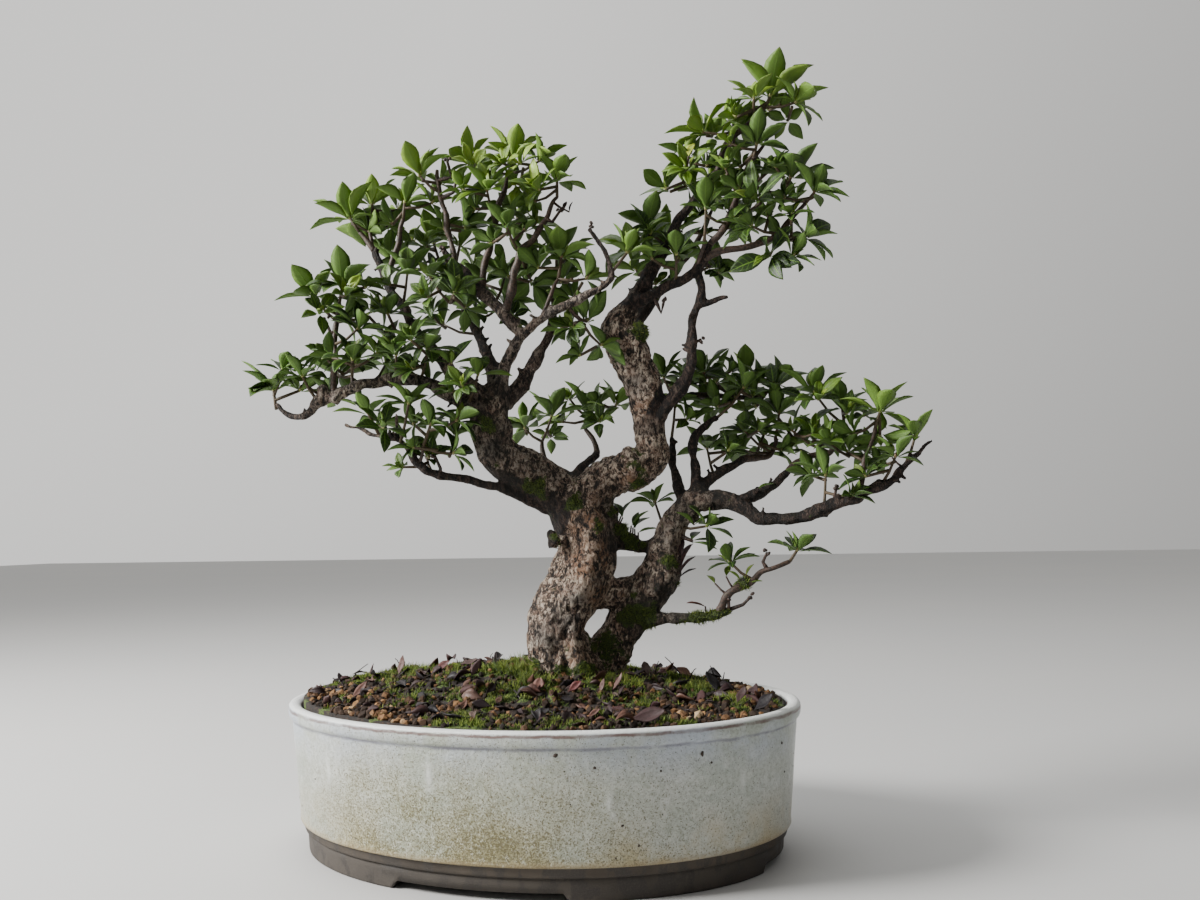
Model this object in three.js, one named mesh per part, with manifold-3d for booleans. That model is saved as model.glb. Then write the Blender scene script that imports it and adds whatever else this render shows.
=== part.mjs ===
// A satsuki azalea trained as a bonsai, in an oval glazed pot. Millimetres, +Z up.
import * as THREE from 'three';
import { mergeVertices } from 'three/addons/utils/BufferGeometryUtils.js';
import Module from 'manifold-3d';

const wasm = await Module();
wasm.setup();

// Driving dimensions.
const potLength = 300;            // over the rim, along X
const potWidth = 220;             // over the rim, along Y
const rimTop = 82.8;
const ovalSides = 32;             // flats round the pot and the soil
const rimThickness = 7.5;
const glazeLine = 18;             // height where the glaze stops above the bare foot
const floorTop = 20;              // upper face of the pot's floor
const floorUnderside = 10;
const footWidth = 12;
const footGap = 4.5;              // height of the cut-outs between the four feet
const frontGapHalf = 46;          // half width of the front and back cut-outs
const endGapHalf = 29;            // half width of the cut-outs at the two ends
const drainRadius = 12;
const drainOffset = 62;
const screenSize = 38;
const screenThickness = 1.2;
const soilEdge = 81.6;            // height of the soil where it meets the rim
const soilMound = 18;             // how far the soil rises towards the trunk
const soilGrain = 2.4;            // height between the lowest and the highest lumps of soil
const drainScreenOpenings = 3;    // in a row, modelled coarser than the real mesh
const fit = 0.4;                  // clearance between two pieces that touch
const splinter = 0.15;            // an edge shorter than this is drawn together into one corner
const treeTurn = THREE.MathUtils.degToRad(16);   // the tree faces the pot's front left
const bladeThickness = 0.7;
const hubRadius = 1.3;            // the knob that carries a whorl of leaves
const twigRadius = 1;
const leafSpread = 0.23;          // half a leaf's width over its length
const leafCup = 0.05;             // how far a leaf's middle rises, over its length
const leafDroop = 0.08;           // how far its tip falls
const leafWobble = { turn: 0.16, rise: 0.18, roll: 0.4, length: 0.3 };
const shrinkSteps = [1, 0.95, 0.88, 0.8, 0.7, 0.6];   // tried in turn where a leaf has little room
const stemGap = { own: 1, others: 1.9 };              // least distance from a leaf to a stem
const leafGap = { own: 1.5, others: 2.3 };            // least distance from a leaf to a leaf

const up = new THREE.Vector3(0, 0, 1);

// Seeded draws, so that every build gives the same tree.
let drawState = 20461;
function draw() {
  drawState = (drawState * 16807) % 2147483647;
  return drawState / 2147483647;
}

// ---------- solids ----------

function solidOf(geometry) {
  const plain = geometry.clone();
  plain.deleteAttribute('normal');
  plain.deleteAttribute('uv');
  const merged = mergeVertices(plain, 1e-4);
  return new wasm.Manifold(new wasm.Mesh({
    numProp: 3,
    vertProperties: Float32Array.from(merged.attributes.position.array),
    triVerts: Uint32Array.from(merged.index.array),
  }));
}

function solidFromFaces(points, faces) {
  return new wasm.Manifold(new wasm.Mesh({
    numProp: 3,
    vertProperties: Float32Array.from(points.flatMap((p) => [p.x, p.y, p.z])),
    triVerts: Uint32Array.from(faces.flat()),
  }));
}

function geometryOf(solid) {
  const { vertProperties, triVerts } = solid.getMesh();
  const geometry = new THREE.BufferGeometry();
  geometry.setAttribute('position', new THREE.BufferAttribute(vertProperties, 3));
  geometry.setIndex(new THREE.BufferAttribute(triVerts, 1));
  geometry.computeVertexNormals();
  return geometry;
}

function joined(solids) {
  return solids.reduce((whole, solid) => whole.add(solid));
}

// The largest body of a solid, without the scraps that a cut left loose.
function mainBody(solid) {
  const bodies = solid.decompose();
  return bodies.reduce((best, body) => (body.volume() > best.volume() ? body : best));
}

// The solid with both ends of every splinter edge drawn together, wherever it stays closed.
function withoutSplinters(solid) {
  const { vertProperties, triVerts } = solid.getMesh();
  const points = Array.from({ length: vertProperties.length / 3 }, (_, k) => (
    new THREE.Vector3().fromArray(vertProperties, 3 * k)));
  let faces = Array.from({ length: triVerts.length / 3 }, (_, k) => [...triVerts.slice(3 * k, 3 * k + 3)]);
  const around = (corner) => new Set(faces.filter((face) => face.includes(corner)).flat());
  const shortEdges = () => faces.flatMap(([a, b, c]) => [[a, b], [b, c], [c, a]])
    .filter(([a, b]) => a < b && points[a].distanceTo(points[b]) < splinter);
  for (let found = shortEdges(); found.length > 0;) {
    const joinable = found.find(([a, b]) => {
      const near = around(b);
      return [...around(a)].filter((corner) => near.has(corner)).length === 4;
    });
    if (!joinable) break;
    const [kept, dropped] = joinable;
    faces = faces.map((face) => face.map((corner) => (corner === dropped ? kept : corner)))
      .filter((face) => new Set(face).size === 3);
    found = shortEdges();
  }
  return solidFromFaces(points, faces);
}

function meshNamed(name, solid, colour, roughness) {
  const material = new THREE.MeshStandardMaterial({ color: colour, roughness, metalness: 0 });
  const mesh = new THREE.Mesh(geometryOf(solid), material);
  mesh.name = name;
  return mesh;
}

// Rings of points, each ring with the same count, closed by a flat fan at both ends.
function skinOfRings(rings) {
  const count = rings[0].length;
  const points = rings.flat();
  const faces = [];
  for (let k = 1; k < count - 1; k += 1) faces.push([0, k + 1, k]);
  for (let ring = 0; ring < rings.length - 1; ring += 1) {
    for (let k = 0; k < count; k += 1) {
      const next = (k + 1) % count;
      const low = ring * count;
      const high = low + count;
      faces.push([low + k, low + next, high + next], [low + k, high + next, high + k]);
    }
  }
  const last = (rings.length - 1) * count;
  for (let k = 1; k < count - 1; k += 1) faces.push([last, last + k, last + k + 1]);
  return solidFromFaces(points, faces);
}

// ---------- pot ----------

// The pot is an oval at every height: its short half axis follows from its long one.
function shortAxis(longAxis) {
  const inner = potLength / 3;    // the ovals keep one shape inside this long half axis
  const slope = 0.9;
  const axisAt = (half) => potWidth / 2 - (potLength / 2 - half) * slope;
  return longAxis > inner ? axisAt(longAxis) : axisAt(inner) * longAxis / inner;
}

function ovalRing(longAxis, height) {
  const ring = [];
  for (let k = 0; k < ovalSides; k += 1) {
    const angle = (k / ovalSides) * Math.PI * 2;
    ring.push(new THREE.Vector3(Math.cos(angle) * longAxis, Math.sin(angle) * shortAxis(longAxis), height));
  }
  return ring;
}

function footCut(halfWidth, alongX) {
  const corner = 3;
  const outline = new THREE.Shape();
  outline.moveTo(-halfWidth, -1);
  outline.lineTo(halfWidth, -1);
  outline.lineTo(halfWidth, footGap - corner);
  outline.quadraticCurveTo(halfWidth, footGap, halfWidth - corner, footGap);
  outline.lineTo(-halfWidth + corner, footGap);
  outline.quadraticCurveTo(-halfWidth, footGap, -halfWidth, footGap - corner);
  const depth = potLength + 20;
  const cut = new THREE.ExtrudeGeometry(outline, { depth, bevelEnabled: false, curveSegments: 3 });
  cut.translate(0, 0, -depth / 2);
  cut.rotateX(Math.PI / 2);
  if (alongX) cut.rotateZ(Math.PI / 2);
  return solidOf(cut);
}

function makePot() {
  const rim = potLength / 2;
  const profile = [
    [rim - 26, floorUnderside], [rim - 12.2 - footWidth, 0], [rim - 12.2, 0],
    [rim - 11.4, 10.8], [rim - 9.8, 11.8], [rim - 9, glazeLine - 0.8], [rim - 7.4, glazeLine + 0.3],
    [rim - 1.8, rimTop - 8.6], [rim - 0.4, rimTop - 6.6], [rim, rimTop - 3.2],
    [rim - 0.8, rimTop - 0.8], [rim - 2.8, rimTop], [rim - 6, rimTop - 0.3],
    [rim - rimThickness - 0.5, rimTop - 3], [rim - 15.5, floorTop + 7], [rim - 20, floorTop],
  ];
  const body = skinOfRings(profile.map(([longAxis, height]) => ovalRing(longAxis, height)));
  const drain = new THREE.CylinderGeometry(drainRadius, drainRadius, floorTop * 2, 12);
  drain.rotateX(Math.PI / 2);
  const drains = [-1, 1].map((side) => solidOf(drain.clone().translate(side * drainOffset, 0, floorTop)));
  return [...drains, footCut(frontGapHalf, false), footCut(endGapHalf, true)]
    .reduce((pot, cut) => pot.subtract(cut), body);
}

// A square of plastic mesh that keeps the soil in over a drain hole.
function makeScreen(side) {
  const pitch = screenSize / (drainScreenOpenings + 0.5);
  const opening = new THREE.BoxGeometry(pitch * 0.62, pitch * 0.62, screenThickness * 3);
  let sheet = solidOf(new THREE.BoxGeometry(screenSize, screenSize, screenThickness));
  for (let row = 0; row < drainScreenOpenings; row += 1) {
    for (let column = 0; column < drainScreenOpenings; column += 1) {
      const x = (column - (drainScreenOpenings - 1) / 2) * pitch;
      const y = (row - (drainScreenOpenings - 1) / 2) * pitch;
      sheet = sheet.subtract(solidOf(opening.clone().translate(x, y, 0)));
    }
  }
  return sheet.translate([side * drainOffset, 0, floorTop + fit + screenThickness / 2]);
}

// ---------- soil ----------

// The mound leans to the left end, where the soil stands a little over the rim.
function soilHeight(x, y) {
  const across = (x + 2) / 92;
  const along = (y - 16) / 62;
  return soilEdge - 0.016 * x + soilMound * Math.exp(-across * across - along * along);
}

function makeSoil(woodSleeve) {
  const wall = potLength / 2 - rimThickness - 0.5 - fit;
  const rings = [ovalRing(potLength / 2 - 20 - 2 * fit, floorTop + fit)];
  rings.push(ovalRing(potLength / 2 - 15.5 - 2 * fit, floorTop + 7 + fit));
  rings.push(ovalRing(wall - 0.3, rimTop - 6));
  for (const share of [1, 0.85, 0.66, 0.44, 0.2]) {
    const ring = ovalRing(wall, 0);
    for (const point of ring) {
      point.multiplyScalar(share);
      const grain = share === 1 ? 0 : (draw() - 0.5) * soilGrain;
      point.z = soilHeight(point.x, point.y) + grain;
    }
    rings.push(ring);
  }
  const pocket = new THREE.BoxGeometry(screenSize + 2, screenSize + 2, screenThickness * 2 + 4 * fit);
  const pockets = [-1, 1].map((side) => solidOf(pocket.clone().translate(side * drainOffset, 0, floorTop)));
  const bed = pockets.reduce((soil, cut) => soil.subtract(cut), skinOfRings(rings));
  return withoutSplinters(mainBody(bed.subtract(woodSleeve)));
}

// ---------- wood ----------

// A route is a list of [x, y, z, radius] as seen from the tree's own front, and the tree is then turned.
function treePoint(x, y, z) {
  return new THREE.Vector3(x, y, z).applyAxisAngle(up, treeTurn);
}

function routeOf(list) {
  return list.map(([x, y, z, radius]) => ({ point: treePoint(x, y, z), radius }));
}

// A smooth line through the stations of a route, with the radius carried along.
function stationsOf(route, perSpan) {
  const stations = [];
  const at = (index) => route[Math.min(Math.max(index, 0), route.length - 1)];
  for (let span = 0; span < route.length - 1; span += 1) {
    const [a, b, c, d] = [at(span - 1), at(span), at(span + 1), at(span + 2)];
    const steps = span === route.length - 2 ? perSpan + 1 : perSpan;
    for (let step = 0; step < steps; step += 1) {
      const t = step / perSpan;
      const weights = [
        -0.5 * t + t * t - 0.5 * t * t * t,
        1 - 2.5 * t * t + 1.5 * t * t * t,
        0.5 * t + 2 * t * t - 1.5 * t * t * t,
        -0.5 * t * t + 0.5 * t * t * t,
      ];
      const point = new THREE.Vector3();
      [a, b, c, d].forEach((station, k) => point.addScaledVector(station.point, weights[k]));
      stations.push({ point, radius: b.radius + (c.radius - b.radius) * t });
    }
  }
  return stations;
}

// A tapered limb round a line of stations, with a lobed section where lobes is above 0.
function limbSolid(stations, sides, lobes, swell) {
  const first = stations[1].point.clone().sub(stations[0].point).normalize();
  let side = new THREE.Vector3(1, 0.3, 0).cross(first).normalize();
  const rings = stations.map((station, index) => {
    const before = stations[Math.max(index - 1, 0)].point;
    const after = stations[Math.min(index + 1, stations.length - 1)].point;
    const along = after.clone().sub(before).normalize();
    side = side.clone().addScaledVector(along, -side.dot(along)).normalize();
    const other = along.clone().cross(side);
    const centre = station.point.clone();
    if (index === 0) centre.addScaledVector(along, -swell);
    if (index === stations.length - 1) centre.addScaledVector(along, swell);
    const ring = [];
    for (let k = 0; k < sides; k += 1) {
      const angle = (k / sides) * Math.PI * 2;
      const wave = Math.sin(angle * 3 + centre.z * 0.045) + 0.6 * Math.sin(angle * 5 - centre.z * 0.07);
      const radius = station.radius * (1 + lobes * wave) + swell;
      ring.push(centre.clone().addScaledVector(side, Math.cos(angle) * radius)
        .addScaledVector(other, Math.sin(angle) * radius));
    }
    return ring;
  });
  return skinOfRings(rings);
}

const limbs = {
  trunk: { sides: 10, perSpan: 2, lobes: 0.07, list: [
    [20, 8, 64, 23], [21, 6, 80, 25.5], [17, 3, 99, 20.5], [11, 0, 117, 17], [15, 0, 132, 16.5],
    [24, 2, 146, 18.5], [29, 4, 160, 18.5], [29, 4, 175, 17], [24, 4, 190, 17], [21, 4, 204, 13]] },
  secondTrunk: { sides: 9, perSpan: 1, lobes: 0.05, list: [
    [33, 10, 80, 15.5], [37, 9, 98, 12.5], [46.5, 8, 114, 11.5], [58, 6, 132, 12.5], [71.5, 3, 150, 12.5],
    [76, 2, 168, 9.5], [82, 0, 183, 8], [93, -3, 196, 7]] },
  trunkJoin: { sides: 6, perSpan: 1, lobes: 0, list: [
    [28, 4, 139, 9], [46, 5, 141, 8.5], [62, 5, 144, 9]] },
  bridge: { sides: 5, perSpan: 1, lobes: 0, list: [
    [38, 7, 174, 7], [52, 11, 169, 5], [64, 9, 168, 5], [75, 4, 171, 6]] },
  leftLimb: { sides: 9, perSpan: 1, lobes: 0.05, list: [
    [22, 4, 190, 14], [9, 1, 203, 13], [-5, -4, 212, 12.5], [-19, -7, 221, 11.5], [-25, -9, 234, 11],
    [-25, -10, 248, 10.5], [-20, -10, 262, 8]] },
  rightLimb: { sides: 9, perSpan: 1, lobes: 0.05, list: [
    [27, 4, 196, 14], [42, 3, 208, 12], [59, 2, 213, 12], [69, 1, 222, 10.5], [68, 0, 234, 9],
    [67, 0, 247, 9], [65, 0, 262, 11], [57, 1, 283, 13], [51, 2, 297, 10.5], [60, 3, 314, 6],
    [67, 4, 326, 5]] },
  apexLimb: { sides: 5, perSpan: 1, lobes: 0, list: [
    [62, 3, 317, 5.5], [70, 4, 331, 4.5], [78, 5, 344, 4], [87, 4, 362, 3.5], [96, 3, 372, 3.4],
    [105, 1, 384, 3], [112, 0, 391, 2.9]] },
  leftArm: { sides: 5, perSpan: 1, lobes: 0, list: [
    [-27, -10, 246, 6.5], [-38, -13, 251, 5], [-51, -16, 259, 4.5], [-64, -19, 266, 4.2],
    [-78, -21, 267, 4.2], [-91, -22, 265, 4], [-103, -22, 261, 4], [-114, -21, 257, 3.7],
    [-123, -20, 255, 4], [-127, -19, 247, 3], [-135, -18, 243, 2.5], [-143, -17, 245, 2],
    [-148, -16, 251, 1.5]] },
  longShoot: { sides: 5, perSpan: 1, lobes: 0, list: [
    [-20, -10, 258, 6.5], [-17, -14, 270, 4.5], [-13, -16, 280, 4], [-9, -18, 287, 3.8], [-3, -20, 292, 4],
    [6, -22, 299, 3.5], [17, -24, 305, 3.2], [31, -25, 311, 3], [44, -26, 319, 2.6], [47, -26, 326, 2.2],
    [43, -26, 338, 1.8], [35, -26, 350, 1.4]] },
  crownRight: { sides: 5, perSpan: 1, lobes: 0, list: [
    [-17, -8, 252, 6.5], [-12, -5, 259, 5.5], [-5, -2, 268, 5], [3, 2, 283, 4.5], [9, 5, 295, 3.5],
    [12, 8, 308, 2.8]] },
  crownLeft: { sides: 5, perSpan: 1, lobes: 0, list: [
    [-4, -19, 291, 4], [-16, -14, 304, 4.5], [-29, -8, 319, 4.5], [-37, -6, 328, 4], [-47, -4, 337, 3.2],
    [-54, -4, 348, 2]] },
  outerLeft: { sides: 5, perSpan: 1, lobes: 0, list: [
    [-28, -11, 255, 6.5], [-43, -10, 268, 5], [-57, -6, 283, 4.5], [-70, -2, 299, 4], [-77, 1, 312, 3.6],
    [-87, 4, 325, 3.5], [-91, 6, 337, 3], [-96, 8, 349, 2.6]] },
  lowLeft: { sides: 4, perSpan: 1, lobes: 0, list: [
    [10, 0, 191, 5], [-10, -7, 199, 3.5], [-29, -11, 206, 3], [-47, -16, 210, 3], [-59, -20, 213, 3],
    [-67, -22, 219, 3], [-70, -23, 224, 2.6], [-76, -24, 231, 2.2], [-86, -24, 234, 1.9],
    [-97, -23, 237, 1.5], [-107, -22, 241, 1.2]] },
  lowLeftStub: { sides: 4, perSpan: 1, lobes: 0, list: [[-76, -24, 231, 1.5], [-77, -25, 246, 1]] },
  frontShoot: { sides: 5, perSpan: 1, lobes: 0, list: [
    [68, -2, 238, 6], [85, -8, 259, 4.5], [92, -12, 272, 4], [93, -15, 285, 3.6], [94, -17, 298, 3.5],
    [97, -17, 307, 3.2], [99, -17, 318, 3], [97, -13, 328, 3]] },
  frontStub: { sides: 4, perSpan: 1, lobes: 0, list: [[97, -17, 306, 2.4], [114, -19, 311, 1.6]] },
  highRight: { sides: 5, perSpan: 1, lobes: 0, list: [
    [58, 2, 312, 5], [74, -6, 318, 3.8], [87, -10, 322, 3.6], [95, -13, 327, 3.5], [102, -14, 335, 3.2],
    [105, -14, 343, 2.9]] },
  rearRight: { sides: 5, perSpan: 1, lobes: 0, list: [
    [58, 4, 288, 7], [64, 18, 306, 4.6], [76, 28, 324, 3.6], [90, 32, 341, 2.8]] },
  rearLeft: { sides: 5, perSpan: 1, lobes: 0, list: [
    [-22, -6, 260, 6.5], [-27, 10, 280, 4.4], [-36, 24, 300, 3.7], [-45, 32, 318, 2.8]] },
  longArm: { sides: 6, perSpan: 1, lobes: 0, list: [
    [92, -3, 195, 7.5], [104, -6, 194, 6.5], [113, -8, 193, 6], [121, -11, 188, 5], [131, -14, 183, 4.6],
    [142, -16, 182, 4.5], [153, -18, 184, 4.4], [165, -20, 187, 4.2], [175, -21, 192, 4],
    [184, -22, 194, 3.8], [193, -22, 199, 3.5], [204, -22, 203, 3], [209, -22, 209, 2.5],
    [217, -22, 217, 2], [228, -21, 225, 1.4]] },
  midArm: { sides: 5, perSpan: 1, lobes: 0, list: [
    [116, -8, 192, 5], [128, -4, 197, 4], [139, 0, 202, 3.5], [149, 4, 210, 3]] },
  innerArm: { sides: 5, perSpan: 1, lobes: 0, list: [
    [94, -3, 198, 6], [102, 3, 205, 4], [114, 9, 213, 3.5], [125, 14, 219, 2.9]] },
  innerRiser: { sides: 5, perSpan: 1, lobes: 0, list: [
    [94, -2, 198, 5], [95, 3, 215, 3.5], [94, 7, 230, 3.2], [99, 9, 237, 3], [109, 11, 244, 2.6]] },
  thinRiser: { sides: 4, perSpan: 1, lobes: 0, list: [
    [87, 0, 192, 5], [83, 8, 210, 3.2], [81, 14, 222, 2.8], [82, 18, 233, 2.4]] },
  lowRight: { sides: 5, perSpan: 1, lobes: 0, list: [
    [58, 2, 126, 6], [72, -3, 126, 4.3], [82, -5, 126, 4], [92, -8, 127, 3.6], [103, -11, 128, 3.4],
    [110, -12, 131, 2.6]] },
  backArm: { sides: 5, perSpan: 1, lobes: 0, list: [
    [26, 6, 198, 9], [23, 16, 209, 5], [29, 26, 218, 3.6], [36, 36, 225, 2.9]] },
  backFork: { sides: 4, perSpan: 1, lobes: 0, list: [[23, 15, 208, 4], [12, 26, 216, 2.8]] },
  rearArm: { sides: 5, perSpan: 1, lobes: 0, list: [
    [66, 4, 244, 6.5], [74, 16, 252, 4.2], [85, 26, 257, 3.5], [98, 33, 260, 2.9]] },
};

const limbStations = Object.entries(limbs).map(([name, limb]) => (
  { name, stations: stationsOf(routeOf(limb.list), limb.perSpan) }));

function makeWood(swell) {
  return joined(limbStations.map(({ name, stations }) => (
    limbSolid(stations, limbs[name].sides, limbs[name].lobes, swell))));
}

// ---------- leafy sprays ----------

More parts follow.
